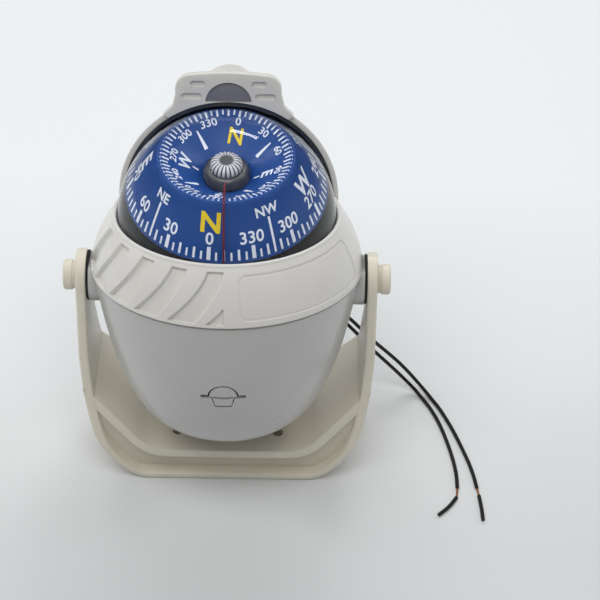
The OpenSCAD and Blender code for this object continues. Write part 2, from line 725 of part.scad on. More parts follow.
module lamp_lens() {
    color([0.35, 0.37, 0.43]) leaned() plate_xw(hood_back - tab_t / 4, hood_back + tab_t / 4)
        translate([0, window_low + run_fit]) half_ellipse(window_half - run_fit, window_h - 2 * run_fit);
}
module lamp_board() {
    color([0.1, 0.3, 0.15]) leaned() difference() {
        plate_xw(board_v, board_v + board_t) translate([0, window_low + run_fit])
            half_ellipse(window_half - run_fit, window_h - 2 * run_fit);
        plate_xw(board_v - over, board_v + 2 * board_t) translate([-window_half, window_low])
            square([window_half / 2, over]);
    }
}
module lamp_leds() {
    color([0.9, 0.9, 0.85]) leaned() for (x = [-1, 1])
        translate([x * window_half / 3, board_v, dome_w + window_low + window_h / 3]) rotate([90, 0, 0]) {
            cylinder(r = led_r, h = 2 * led_r, $fn = fine);
            translate([0, 0, 2 * led_r]) sphere(r = led_r, $fn = fine);
        }
}
lead_low_w = base_low - 4 * clamp_head_t;
module strut(a, b, r) {
    run = b - a;
    translate(a) rotate([0, acos(run[2] / norm(run)), atan2(run[1], run[0])]) peg(r, norm(run));
}
lamp_route = [[0, channel_mid_r, lead_low_w], [gland_in_x / 2, gland_v - gland_r, gland_w + 2 * gland_r],
    [gland_in_x / 2, gland_v - lamp_lead_r, gland_w], [gland_in_x - over / 2, gland_v, gland_w]];
module lamp_leads() {
    color([0.5, 0.05, 0.05]) leaned() {
        rear_arc(lamp_lead_r);
        translate([0, channel_mid_r, lead_low_w]) peg(lamp_lead_r, foot_w - lead_low_w + run_fit);
        for (i = [0:2]) strut(lamp_route[i], lamp_route[i + 1], lamp_lead_r);
        for (i = [0:2]) translate(lamp_route[i]) sphere(r = lamp_lead_r, $fn = fine);
    }
}

// Capsule: the clear dome, its seal and the black base with two ears for the gimbal
module dome() {
    color([0.8, 0.87, 0.95, 0.35]) leaned() translate([0, 0, dome_w]) difference() {
        union() {
            intersection() {
                sphere(r = dome_r);
                translate([0, 0, dome_r]) cube(2 * dome_r, center = true);
            }
            translate([0, 0, flange_low - dome_w]) cylinder(r = dome_r, h = dome_w - flange_low);
            translate([0, 0, flange_low - dome_w]) cylinder(r = flange_r, h = flange_t);
        }
        sphere(r = dome_in_r);
        translate([0, 0, flange_low - dome_w - over]) cylinder(r = dome_in_r, h = dome_w - flange_low + over);
    }
}
module capsule_seal() {
    color(black) leaned() translate([0, 0, seal_low]) tube_of(flange_r, dome_in_r + gap, seal_t);
}
module ears() {
    for (s = [-1, 1]) translate([s * (ear_in + ear_t / 2), 0, (ear_top - ear_in / 2) / 2])
        cube([ear_t, 2 * ear_half, ear_top + ear_in / 2], center = true);
}
module capsule_base() {
    floor_w = dome_w - capsule_deep;
    color(black) leaned() difference() {
        union() {
            translate([0, 0, base_low]) cylinder(r = base_r, h = base_flange_t);
            intersection() {
                hood_sphere(dome_in_r + base_wall);
                translate([-base_r, -base_r, floor_w - base_wall])
                    cube([2 * base_r, 2 * base_r, seal_low - floor_w + base_wall]);
            }
            intersection() {
                translate([0, 0, dome_w]) difference() {
                    ears();
                    rotate([rest_lean, 0, 0]) along_x() translate([0, 0, -base_r])
                        cylinder(r = pin_r + run_fit, h = 2 * base_r, $fn = fine);
                }
                union() {
                    hood_sphere(dome_in_r - gap);
                    translate([0, 0, base_low]) cylinder(r = dome_in_r - gap, h = dome_w - base_low);
                }
            }
        }
        difference() {
            intersection() {
                hood_sphere(dome_in_r);
                translate([-base_r, -base_r, floor_w]) cube([2 * base_r, 2 * base_r, 2 * base_r]);
            }
            up_z(dome_w) ears();
        }
        up_z(floor_w - base_wall - over)
            cylinder(r = diaphragm_r - base_wall, h = base_wall + 2 * over);
        around(clamp_n, clamp_circle_r, clamp_turn) translate([0, 0, base_low - over])
            cylinder(r = clamp_screw_r, h = base_flange_t + 2 * over);
        translate([0, -plug_at, floor_w - base_wall - over]) cylinder(r = plug_r, h = base_wall + 2 * over);
        translate([0, channel_mid_r, base_low - over]) peg(channel_r, base_flange_t + 2 * over);
        around(small_n, small_circle_r, small_turn) translate([0, 0, floor_w - base_wall - over])
            cylinder(r = small_r, h = over + small_bite, $fn = fine);
    }
}
module diaphragm() {
    color(black) leaned() difference() {
        translate([0, 0, base_under - diaphragm_t]) cylinder(r = plate_r, h = diaphragm_t);
        around(small_n, small_circle_r, small_turn) translate([0, 0, base_under - 2 * diaphragm_t])
            cylinder(r = small_r, h = 3 * diaphragm_t, $fn = fine);
    }
}
module diaphragm_ring() {
    color(steel) leaned() difference() {
        up_z(base_under - diaphragm_t - clamp_ring_t)
            tube_of(plate_r, diaphragm_r - base_wall, clamp_ring_t);
        around(small_n, small_circle_r, small_turn)
            up_z(base_under - diaphragm_t - 2 * clamp_ring_t) peg(small_r, 3 * clamp_ring_t);
    }
}
module diaphragm_screws() {
    low = base_under - diaphragm_t - clamp_ring_t;
    color(steel) leaned() around(small_n, small_circle_r, small_turn) {
        translate([0, 0, low - small_head_t]) cylinder(r = small_head_r, h = small_head_t, $fn = fine);
        translate([0, 0, low - small_head_t / 2])
            cylinder(r = small_r, h = small_head_t / 2 + base_under + small_bite - low, $fn = fine);
    }
}
module filler_plug() {
    color(brass) leaned() translate([0, -plug_at, 0]) {
        translate([0, 0, base_under]) cylinder(r = plug_r, h = base_wall);
        translate([0, 0, base_under - plug_head_t]) difference() {
            cylinder(r = plug_head_r, h = plug_head_t);
            translate([-plug_head_r - over, -slot_w / 2, -over])
                cube([2 * (plug_head_r + over), slot_w, over + slot_deep * 0.7]);
        }
    }
}

// Gimbal: the ring pitches in the ears, the frame rolls in the ring and carries the post
module gimbal_ring() {
    color(black) level() difference() {
        translate([0, 0, -ring_h / 2]) tube_of(ring_out_r, ring_in_r, ring_h);
        translate([-ring_out_r - over, 0, 0]) along_x() peg(pin_r, 2 * (ring_out_r + over));
        translate([0, -ring_out_r - over, 0]) along_y()
            cylinder(r = pin_r + run_fit, h = 2 * (ring_out_r + over), $fn = fine);
    }
}
module ring_pins() {
    color(steel) level() for (s = [-1, 1]) rotate([0, s * 90, 0]) translate([0, 0, ring_in_r])
        cylinder(r = pin_r, h = ear_in + ear_t - ring_in_r - run_fit, $fn = fine);
}
module gimbal_frame() {
    color(black) level() difference() {
        union() {
            translate([-bar_w / 2, -bar_end, -bar_h / 2]) cube([bar_w, 2 * bar_end, bar_h]);
            translate([0, 0, -bar_h / 2]) cylinder(r = hub_disc_r, h = bar_h);
            translate([0, 0, weight_low + weight_h / 2]) cylinder(r = stem_r, h = -weight_low - weight_h / 2);
            cylinder(r = shoulder_r, h = bush_low - 2 * run_fit);
            cylinder(r = post_r, h = hub_h + hub_dome_h / 2);
        }
        for (s = [0, 180]) rotate([0, 0, s]) translate([0, bar_end - pin_seat, 0]) along_y()
            cylinder(r = pin_r, h = pin_seat + over, $fn = fine);
    }
}
module frame_pins() {
    color(steel) level() for (s = [0, 180]) rotate([0, 0, s]) translate([0, bar_end - pin_seat, 0]) along_y()
        cylinder(r = pin_r, h = pin_seat + ring_out_r - bar_end - run_fit, $fn = fine);
}
module counterweight() {
    color(brass) level() translate([0, 0, weight_low]) difference() {
        cylinder(r = weight_r, h = weight_h);
        translate([0, 0, weight_h / 2]) cylinder(r = stem_r, h = weight_h);
    }
}
module hub_cap() {
    steps = 8;
    color(black) level() difference() {
        translate([0, 0, hub_h]) rotate_extrude() polygon(concat([[0, 0]],
            [for (i = [0:steps]) let (a = 90 * i / steps)
                [hub_top_r + (hub_r - hub_top_r) * cos(a), hub_dome_h * sin(a)]],
            [[0, hub_dome_h]]));
        cylinder(r = post_r, h = hub_h + hub_dome_h / 2);
    }
}
module ribbed_cap() {
    color([0.78, 0.77, 0.78]) level() translate([0, 0, hub_h + hub_dome_h]) difference() {
        union() {
            cylinder(r = cap_r, h = cap_h * 0.8);
            translate([0, 0, cap_h * 0.8]) cylinder(r = cap_r * 0.8, h = cap_h * 0.2);
        }
        around(rib_n, cap_r) translate([0, 0, cap_h * 0.15]) cylinder(r = rib_cut_r, h = cap_h, $fn = 16);
    }
}
// The lubber line follows the card's side, edge and crater, a little above them
module lubber_line() {
    low_r = card_low_r + lubber_foot;
    edge = [card_top_r + lubber_gap + lubber_side, card_top_h + lubber_gap];
    over_edge = card_top_r - 4 * lubber_gap;
    hub = [hub_r * 0.75, hub_h + hub_dome_h * 0.35];
    color([0.65, 0.06, 0.06]) level() translate([lubber_t / 2, 0, 0]) rotate([0, 0, 180]) rotate([90, 0, 90])
        linear_extrude(lubber_t) polygon([[low_r, bar_h / 2], [low_r + lubber_t, bar_h / 2],
            [card_low_r + lubber_gap + lubber_t * 1.6, card_low_h], [edge[0] + lubber_t, edge[1]],
            [edge[0] - lubber_gap, edge[1] + lubber_t], [over_edge, edge[1] + lubber_t],
            [hub[0], hub[1] + lubber_t], [hub[0], hub[1]], [over_edge, edge[1]],
            [edge[0] - lubber_gap, edge[1]], [edge[0], edge[1] - lubber_gap],
            [card_low_r + lubber_gap + lubber_t * 0.6, card_low_h]]);
}

// Card: a tapered skirt, a sunken top, a brass bush on the post and two bar magnets
module card_skirt() {
    color(card_blue) level() rotate_extrude() polygon([[card_low_r - card_wall, card_low_h],
        [card_low_r, card_low_h], [card_top_r, card_top_h], [card_top_r - card_wall, card_top_h]]);
}
module card_crater() {
    t = card_wall;
    color(card_blue) level() rotate_extrude() polygon([[crater_in_r, crater_in_h - t],
        [crater_in_r, crater_in_h], [card_top_r - t * 2, card_top_h - t * 0.3],
        [card_top_r - t, card_top_h - t * 0.3], [card_top_r - t + 0.31 * t, card_top_h - 1.4 * t],
        [card_top_r - t * 2, card_top_h - 1.6 * t], [crater_in_r + 2 * t, crater_in_h - t]]);
}
module card_bush() {
    // The bush, the plate that joins it to the crater and the disc that carries the magnets
    color(brass) level() difference() {
        union() {
            translate([0, 0, bush_low]) cylinder(r = shoulder_r, h = bush_h);
            up_z(crater_in_h - card_wall - card_step)
                cylinder(r = crater_in_r + 2 * card_wall, h = card_step);
            translate([0, 0, bush_low]) cylinder(r = magnet_half + card_wall, h = card_step);
        }
        translate([0, 0, bush_low - over]) cylinder(r = post_r + run_fit, h = bush_h + 2 * over);
    }
}
module card_magnets() {
    color([0.3, 0.3, 0.32]) level() for (s = [-1, 1])
        translate([s * (shoulder_r + magnet_r + run_fit), -magnet_half, bush_low + card_step + magnet_r])
            along_y() cylinder(r = magnet_r, h = 2 * magnet_half);
}

// Compensators: two rods at right angles, each with a cross magnet
module slotted_rod(len) {
    difference() {
        cylinder(r = rod_r, h = len);
        translate([-2 * rod_r, -slot_w / 2, -over]) cube([4 * rod_r, slot_w, over + slot_deep]);
    }
}
fore_magnet_at = fore_rod_front * 0.45;
cross_magnet_at = cross_rod_end * 0.45;
module fore_aft_rod() {
    color(brass) leaned() difference() {
        translate([0, -fore_rod_front, fore_rod_w]) along_y() union() {
            slotted_rod(fore_rod_len);
            up_z(fore_rod_front - fore_magnet_at - collar_half)
                cylinder(r = rod_r + collar_wall, h = 2 * collar_half);
        }
        translate([0, -fore_magnet_at, fore_rod_w]) along_x() translate([0, 0, -magnet_len])
            cylinder(r = comp_magnet_r, h = 2 * magnet_len, $fn = fine);
    }
}
module fore_aft_magnet() {
    color([0.3, 0.3, 0.32]) leaned() translate([-magnet_len / 2, -fore_magnet_at, fore_rod_w]) along_x()
        cylinder(r = comp_magnet_r, h = magnet_len, $fn = fine);
}
module cross_rod() {
    color(brass) leaned() difference() {
        translate([cross_rod_end, 0, cross_rod_w]) rotate([0, -90, 0]) union() {
            slotted_rod(cross_rod_len);
            up_z(cross_rod_end - cross_magnet_at - collar_half)
                cylinder(r = rod_r + collar_wall, h = 2 * collar_half);
        }
        translate([cross_magnet_at, 0, cross_rod_w]) along_y() translate([0, 0, -magnet_len])
            cylinder(r = comp_magnet_r, h = 2 * magnet_len, $fn = fine);
    }
}
module cross_magnet() {
    color([0.3, 0.3, 0.32]) leaned() translate([cross_magnet_at, -magnet_len / 2, cross_rod_w]) along_y()
        cylinder(r = comp_magnet_r, h = magnet_len, $fn = fine);
}
module compensator_cover() {
    color(shell_white) leaned() difference() {
        intersection() {
            through_front(cover_w) cover_outline(-run_fit);
            difference() { bowl_solid(-run_fit); bowl_solid(-cover_t); }
        }
        translate([-cover_r, -cover_hinge_v, cover_hinge_w]) along_x() peg(hinge_r, 2 * cover_r);
    }
}
module cover_pin() {
    color(steel) leaned() translate([-cover_pin_half, -cover_hinge_v, cover_hinge_w]) along_x()
        cylinder(r = hinge_r, h = 2 * cover_pin_half, $fn = fine);
}

// Leads: the sleeve, two free leads, their stripped ends and the cut sleeves left on them
module lead_gland() {
    color(black) leaned() difference() {
        translate([gland_in_x - over / 2, gland_v, gland_w]) along_x() union() {
            cylinder(r = gland_r, h = exit_x - gland_in_x + over / 2);
            for (k = [0:2]) translate([0, 0, gland_boss_x - gland_in_x + over + k * gland_r * 0.8])
                cylinder(r = gland_r + gland_rib, h = gland_r * 0.4);
        }
        rotate([rest_lean, 0, 0]) translate([0, 0, -pivot_z]) for (p = [left_route[0], right_route[0]])
            translate([0, p[1], p[2]]) along_x() cylinder(r = lead_bore_r, h = 2 * exit_x, $fn = fine);
    }
}
function unit(v) = v / norm(v);
// A smooth curve through the route's points, with rings about ring_step apart
function curve_at(p, i, t) =
    let (a = p[max(i - 1, 0)], b = p[i], c = p[i + 1], d = p[min(i + 2, len(p) - 1)])
    0.5 * (2 * b + (c - a) * t + (2 * a - 5 * b + 4 * c - d) * t * t + (3 * b - a - 3 * c + d) * t * t * t);
function curve_points(p) = concat([for (i = [0:len(p) - 2])
    let (n = max(1, floor(norm(p[i + 1] - p[i]) / ring_step)))
    for (k = [0:n - 1]) curve_at(p, i, k / n)], [p[len(p) - 1]]);
function tangent(q, i) = unit(q[min(i + 1, len(q) - 1)] - q[max(i - 1, 0)]);
module swept(route, r) {
    q = curve_points(route);
    n = len(q);
    up = [0.01, 0.02, 1];
    points = [for (i = [0:n - 1]) let (t = tangent(q, i), a = unit(cross(t, up)), b = cross(a, t))
        for (k = [0:lead_sides - 1]) let (turn = 360 * k / lead_sides)
            q[i] + r * (cos(turn) * a + sin(turn) * b)];
    sides = [for (i = [0:n - 2], k = [0:lead_sides - 1]) let (k2 = (k + 1) % lead_sides, m = i * lead_sides)
        each [[m + k, m + k2 + lead_sides, m + k + lead_sides], [m + k, m + k2, m + k2 + lead_sides]]];
    ends = [[for (k = [lead_sides - 1:-1:0]) k], [for (k = [0:lead_sides - 1]) (n - 1) * lead_sides + k]];
    polyhedron(points = points, faces = concat(sides, ends));
}
module left_lead() { color(black) swept(left_route, lead_r); }
module right_lead() { color(black) swept(right_route, lead_r); }
module left_bare_end() { color(brass) swept(left_bare, bare_r); }
module right_bare_end() { color(brass) swept(right_bare, bare_r); }
module left_end_sleeve() { color(black) swept(left_sleeve, lead_r); }
module right_end_sleeve() { color(black) swept(right_sleeve, lead_r); }

bracket();
left_knob();
right_knob();
left_stud();
right_stud();
left_washer();
right_washer();
bowl();
left_insert();
right_insert();
bezel();
capsule_screws();
hood();
hood_liner();
lamp_lens();
lamp_board();
lamp_leds();
lamp_leads();
dome();
capsule_seal();
capsule_base();
diaphragm();
diaphragm_ring();
diaphragm_screws();
filler_plug();
gimbal_ring();
ring_pins();
gimbal_frame();
frame_pins();
counterweight();
hub_cap();
ribbed_cap();
lubber_line();
card_skirt();
card_crater();
card_bush();
card_magnets();
compensator_cover();
cover_pin();
fore_aft_rod();
fore_aft_magnet();
cross_rod();
cross_magnet();
lead_gland();
left_lead();
right_lead();
left_bare_end();
right_bare_end();
left_end_sleeve();
right_end_sleeve();
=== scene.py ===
# Marine compass on a clamp bracket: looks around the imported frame
import math
import bmesh
import bpy
import numpy as np
from mathutils import Matrix


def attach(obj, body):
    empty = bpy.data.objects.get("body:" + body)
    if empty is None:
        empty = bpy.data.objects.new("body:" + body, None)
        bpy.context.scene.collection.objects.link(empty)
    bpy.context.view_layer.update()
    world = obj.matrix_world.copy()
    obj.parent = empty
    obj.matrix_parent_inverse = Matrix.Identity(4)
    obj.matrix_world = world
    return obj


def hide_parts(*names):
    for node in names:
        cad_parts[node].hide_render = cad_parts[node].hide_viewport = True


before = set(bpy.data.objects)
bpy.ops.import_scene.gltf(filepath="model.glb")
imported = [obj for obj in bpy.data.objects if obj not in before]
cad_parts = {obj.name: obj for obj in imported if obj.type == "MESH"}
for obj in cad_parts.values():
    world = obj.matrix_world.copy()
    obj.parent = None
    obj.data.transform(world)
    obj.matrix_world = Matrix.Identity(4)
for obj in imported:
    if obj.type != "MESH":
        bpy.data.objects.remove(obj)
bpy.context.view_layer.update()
mm = 0.001
print("frame loaded")

# the tilt axis, the lean of the bowl, the dome's centre along the bowl's own axis, the seam and the studs' bore
build = {"pivot": 88.0, "lean": 13.0, "domeAlong": 25.2, "seam": 6.5, "bore": 2.3}
past = 60.0                                                  # how far a cutting piece runs past the object
leanSin, leanCos = math.sin(math.radians(build["lean"])), math.cos(math.radians(build["lean"]))
domeCentre = np.array([0.0, build["domeAlong"] * leanSin, build["pivot"] + build["domeAlong"] * leanCos])


def tint(red, green, blue, share=1.0):
    # screen colour 0-255 to linear, times a share
    c = np.array([red, green, blue]) / 255.0
    low, high = c / 12.92, ((c + 0.055) / 1.055) ** 2.4
    return tuple(float(v) for v in np.where(c <= 0.04045, low, high) * share) + (1.0,)


# camera: the photograph's view, worked out from where the tilt axis stands in it
view = {"elevation": 41.5, "azimuth": 2.56, "roll": -0.78, "distance": 766.0,
        "axisPixel": (227.3, 276.6), "focalPixels": 2000.0, "framePixels": 600.0, "sensor": 36.0}


def aim(holder, right, above, back, place):
    # stands a camera or lamp at a place, with its three axes along the given directions
    turn = np.eye(4)
    turn[:3, 0], turn[:3, 1], turn[:3, 2], turn[:3, 3] = right, above, back, place * mm
    holder.matrix_world = Matrix(turn.tolist())


def placeCamera(v):
    e, a, r = (math.radians(v[k]) for k in ("elevation", "azimuth", "roll"))
    target = np.array([0, 0, build["pivot"]])
    eye = target + v["distance"] * np.array([math.sin(a) * math.cos(e), -math.cos(a) * math.cos(e), math.sin(e)])
    ahead = (target - eye) / v["distance"]
    sideways = np.array([math.cos(a), math.sin(a), 0])
    above = np.cross(sideways, ahead)
    right = math.cos(r) * sideways + math.sin(r) * above
    above = math.cos(r) * above - math.sin(r) * sideways
    middle = v["framePixels"] / 2
    across = (v["axisPixel"][0] - middle) / v["focalPixels"]
    down = (v["axisPixel"][1] - middle) / v["focalPixels"]
    yaw = math.atan(across)                                  # turn the axis to its place across the frame
    ahead, right = math.cos(yaw) * ahead - math.sin(yaw) * right, math.cos(yaw) * right + math.sin(yaw) * ahead
    pitch = -math.atan(down / math.hypot(1, across))          # and up or down it
    ahead, above = math.cos(pitch) * ahead - math.sin(pitch) * above, math.cos(pitch) * above + math.sin(pitch) * ahead
    camera = bpy.data.cameras.new("camera")
    camera.sensor_width = v["sensor"]
    camera.lens = v["sensor"] * v["focalPixels"] / v["framePixels"]
    camera.clip_start = 0.05
    holder = bpy.data.objects.new("camera", camera)
    bpy.context.scene.collection.objects.link(holder)
    aim(holder, right, above, -ahead, eye)
    bpy.context.scene.camera = holder


placeCamera(view)


# frames of reference: points in millimetres to the row frame
def leaned(points):
    # x, v, w about the bowl's axis: v and w turn back about the tilt axis by the lean
    x, v, w = np.moveaxis(np.asarray(points, float), -1, 0)
    return np.stack([x, v * leanCos + w * leanSin, build["pivot"] - v * leanSin + w * leanCos], -1)


def level(points):
    # x, y, h about the dome's centre, hanging level
    return np.asarray(points, float) + domeCentre


def asIs(points):
    return np.asarray(points, float)


# mesh tools
def quads(rows, columns, wrapRows=False, wrapColumns=False):
    # faces of a grid of rows by columns: each joins a point, the next in its row and the two beyond
    i = np.arange(rows if wrapRows else rows - 1)[:, None]
    j = np.arange(columns if wrapColumns else columns - 1)[None, :]
    i2, j2 = (i + 1) % rows, (j + 1) % columns
    corners = [i * columns + j, i * columns + j2, i2 * columns + j2, i2 * columns + j]
    return np.stack([np.broadcast_to(c, (i.size, j.size)) for c in corners], -1).reshape(-1, 4)


def meshObject(name, parts, place=asIs, tidy=True, sharp=35.0):
    # parts is a list of (points, faces); all become one mesh in metres
    points, faces, start = [], [], 0
    for p, f in parts:
        p = np.asarray(p, float).reshape(-1, 3)
        points.append(place(p))
        faces += [[int(k) + start for k in face] for face in f]
        start += len(p)
    mesh = bpy.data.meshes.new(name)
    mesh.from_pydata((np.concatenate(points) * mm).tolist(), [], faces)
    piece = bpy.data.objects.new(name, mesh)
    bpy.context.scene.collection.objects.link(piece)
    if tidy:
        cleanMesh(piece)
    smoothShade(piece, sharp)
    return piece


def cleanMesh(piece, near=1e-6):
    work = bmesh.new()
    work.from_mesh(piece.data)
    bmesh.ops.remove_doubles(work, verts=work.verts, dist=near)
    bmesh.ops.dissolve_degenerate(work, edges=work.edges, dist=near / 10)
    bmesh.ops.recalc_face_normals(work, faces=work.faces)
    work.to_mesh(piece.data)
    work.free()


def smoothShade(piece, sharp=35.0):
    mesh = piece.data
    mesh.polygons.foreach_set("use_smooth", np.ones(len(mesh.polygons), bool))
    mesh.set_sharp_from_angle(angle=math.radians(sharp))


def settle(piece, sharp=35.0):
    # turns live modifiers into plain mesh
    seen = bpy.context.evaluated_depsgraph_get()
    mesh = bpy.data.meshes.new_from_object(piece.evaluated_get(seen))
    old, piece.data = piece.data, mesh
    piece.modifiers.clear()
    mesh.name = piece.name
    bpy.data.meshes.remove(old)
    smoothShade(piece, sharp)
    return piece


def combine(piece, others, way, sharp=35.0):
    # union with, or difference from, a list of closed pieces, which are used up
    for other in others:
        tool = piece.modifiers.new(way, "BOOLEAN")
        tool.operation, tool.solver, tool.object = way, "MANIFOLD", other
    settle(piece, sharp)
    for other in others:
        bpy.data.objects.remove(other)
    return piece


def rounded(piece, width, segments=2, angle=40.0, sharp=35.0):
    edge = piece.modifiers.new("edge", "BEVEL")
    edge.width, edge.segments, edge.limit_method = width * mm, segments, "ANGLE"
    edge.angle_limit = math.radians(angle)
    edge.harden_normals = False
    return settle(piece, sharp)


def spin(profile, count=192):
    # a closed outline of radius and height carried round the axis
    r, h = np.asarray(profile, float).T
    a = np.linspace(0, 2 * np.pi, count, endpoint=False)[:, None]
    points = np.stack([r * np.cos(a), r * np.sin(a), h + 0 * a], -1)
    return points.reshape(-1, 3), quads(count, len(r), True, True)


def prism(outline, low, high):
    # an outline in two axes given a thickness along the third: sides are quads, ends are one face each
    n = len(outline)
    flat = np.asarray(outline, float)
    points = np.concatenate([np.column_stack([flat, np.full(n, low)]), np.column_stack([flat, np.full(n, high)])])
    sides = quads(2, n, False, True).tolist()
    return points, sides + [list(range(n)), list(range(n, 2 * n))]


def swapYZ(part):
    # an outline drawn in x and height, thick along y
    points, faces = part
    return points[:, [0, 2, 1]], faces


def block(low, high):
    return prism([(low[0], low[1]), (high[0], low[1]), (high[0], high[1]), (low[0], high[1])], low[2], high[2])


def rod(radius, low, high, axis, centre=(0.0, 0.0), count=48):
    # a cylinder along x, y or z about a centre in the other two axes
    a = np.linspace(0, 2 * np.pi, count, endpoint=False)
    points, faces = prism(np.column_stack([radius * np.cos(a) + centre[0], radius * np.sin(a) + centre[1]]), low, high)
    order = {"x": [2, 0, 1], "y": [0, 2, 1], "z": [0, 1, 2]}[axis]
    return points[:, order], faces


def resample(line, count):
    # the same line with its points evenly spaced along its length
    run = np.concatenate([[0], np.cumsum(np.linalg.norm(np.diff(line, axis=0), axis=1))])
    at = np.linspace(0, run[-1], count)
    return np.stack([np.interp(at, run, line[:, k]) for k in range(line.shape[1])], -1)


def smoothLine(points, count):
    # Catmull-Rom curve through the points, evenly spaced along its length
    p = np.asarray(points, float)
    q = np.concatenate([2 * p[:1] - p[1:2], p, 2 * p[-1:] - p[-2:-1]])
    t = np.linspace(0, 1, 24, endpoint=False)[:, None, None]
    a, b, c, d = (q[k:len(q) - 3 + k] for k in range(4))
    fine = 0.5 * (2 * b + (c - a) * t + (2 * a - 5 * b + 4 * c - d) * t ** 2 + (3 * b - a - 3 * c + d) * t ** 3)
    return resample(np.concatenate([fine.transpose(1, 0, 2).reshape(-1, p.shape[1]), p[-1:]]), count)


def arc(centre, radius, start, end, count):
    # points round a centre, from one angle to another in degrees
    a = np.radians(np.linspace(start, end, count))
    return np.column_stack([centre[0] + radius * np.cos(a), centre[1] + radius * np.sin(a)])


def softStep(edge, width, value):
    # 0 below the edge and 1 above it, smooth over the width
    t = np.clip((value - edge) / width + 0.5, 0, 1)
    return t * t * (3 - 2 * t)


def tubeAlong(path, radius, sides=12):
    # a round profile carried along a path, turned as little as possible from ring to ring
    p = np.asarray(path, float)
    along = np.gradient(p, axis=0)
    along /= np.linalg.norm(along, axis=1)[:, None]
    first = np.cross(along, [0.01, 0.02, 1.0])
    first /= np.linalg.norm(first, axis=1)[:, None]
    second = np.cross(along, first)
    a = np.linspace(0, 2 * np.pi, sides, endpoint=False)[None, :, None]
    size = np.broadcast_to(np.asarray(radius, float), (len(p),))[:, None, None]
    points = p[:, None] + size * (np.cos(a) * first[:, None] + np.sin(a) * second[:, None])
    faces = quads(len(p), sides, False, True).tolist()
    last = (len(p) - 1) * sides
    return points.reshape(-1, 3), faces + [list(range(sides)), list(range(last, last + sides))]


# finishes: node maths written as arithmetic on sockets
class Wire:
    # one output of a shader node, which takes + - * with numbers or other outputs
    def __init__(self, finish, socket):
        self.finish, self.socket = finish, socket

    def joined(self, way, other, swap=False):
        pair = (other, self) if swap else (self, other)
        return self.finish.node("ShaderNodeMath", {0: pair[0], 1: pair[1]}, operation=way)

    def __add__(self, other): return self.joined("ADD", other)
    def __sub__(self, other): return self.joined("SUBTRACT", other)
    def __mul__(self, other): return self.joined("MULTIPLY", other)
    def __radd__(self, other): return self.joined("ADD", other)
    def __rmul__(self, other): return self.joined("MULTIPLY", other)
    def __rsub__(self, other): return self.joined("SUBTRACT", other, True)

    def above(self, low, high):
        # 0 at low, 1 at high, smooth between
        return self.finish.node("ShaderNodeMapRange", {"Value": self, "From Min": low, "From Max": high},
                                interpolation_type="SMOOTHSTEP")


class Finish:
    # a material with one Principled shader: fixed values go straight on its sockets
    def __init__(self, name, **fixed):
        self.material = bpy.data.materials.new(name)
        self.material.use_nodes = True
        self.tree = self.material.node_tree
        self.shader = self.tree.nodes["Principled BSDF"]
        for key, value in fixed.items():
            self.feed(self.shader, key.replace("_", " "), value)

    def feed(self, node, key, value):
        socket = node.inputs[key]
        if isinstance(value, Wire):
            self.tree.links.new(value.socket, socket)
        else:
            socket.default_value = value

    def node(self, kind, inputs=None, out=0, **settings):
        made = self.tree.nodes.new(kind)
        for key, value in settings.items():
            setattr(made, key, value)
        for key, value in (inputs or {}).items():
            self.feed(made, key, value)
        return Wire(self, made.outputs[out])

    def place(self):
        return self.node("ShaderNodeTexCoord", out="Object")

    def noise(self, scale, detail=2.0, rough=0.5):
        return self.node("ShaderNodeTexNoise", {"Vector": self.place(), "Scale": scale,
                                                "Detail": detail, "Roughness": rough})

    def mixed(self, factor, first, second):
        return self.node("ShaderNodeMix", {0: factor, 6: first, 7: second}, out=2, data_type="RGBA")

    def bump(self, height, strength, distance):
        self.feed(self.shader, "Normal", self.node("ShaderNodeBump", {"Height": height, "Strength": strength,
                                                                      "Distance": distance * mm}))


def moulded(name, colour, roughness=0.32, coat=0.25, grain=0.05, mottle=0.035, dirt=0.0):
    # injection moulded plastic: faint cloudiness, uneven gloss and a fine orange-peel skin
    made = Finish(name, Specular_IOR_Level=0.5, Coat_Weight=coat, Coat_Roughness=0.12)
    cloud = made.noise(38.0, 4.0, 0.55)
    fine = made.noise(900.0, 3.0, 0.6)
    darker, lighter = (tint(*colour, share=1 + k * mottle) for k in (-1, 1))
    tone = made.mixed(cloud.above(0.3, 0.7), darker, lighter)
    if dirt:
        specks = made.noise(160.0, 6.0, 0.7).above(0.62, 0.78) * dirt
        tone = made.mixed(specks, tone, tint(*colour, share=0.55))
    made.feed(made.shader, "Base Color", tone)
    made.feed(made.shader, "Roughness", roughness + (cloud - 0.5) * 0.12 + (fine - 0.5) * 0.06)
    made.bump(fine * 0.4 + made.noise(260.0, 2.0) * 0.6, grain, 0.12)
    return made.material


def metal(name, colour, roughness=0.28):
    # turned metal: fine grain in colour and gloss
    made = Finish(name, Metallic=1.0)
    grain = made.noise(700.0, 4.0, 0.6)
    made.feed(made.shader, "Base Color", made.mixed(grain, tint(*colour, share=0.8), tint(*colour, share=1.1)))
    made.feed(made.shader, "Roughness", roughness + (grain - 0.5) * 0.2)
    made.bump(grain, 0.08, 0.05)
    return made.material


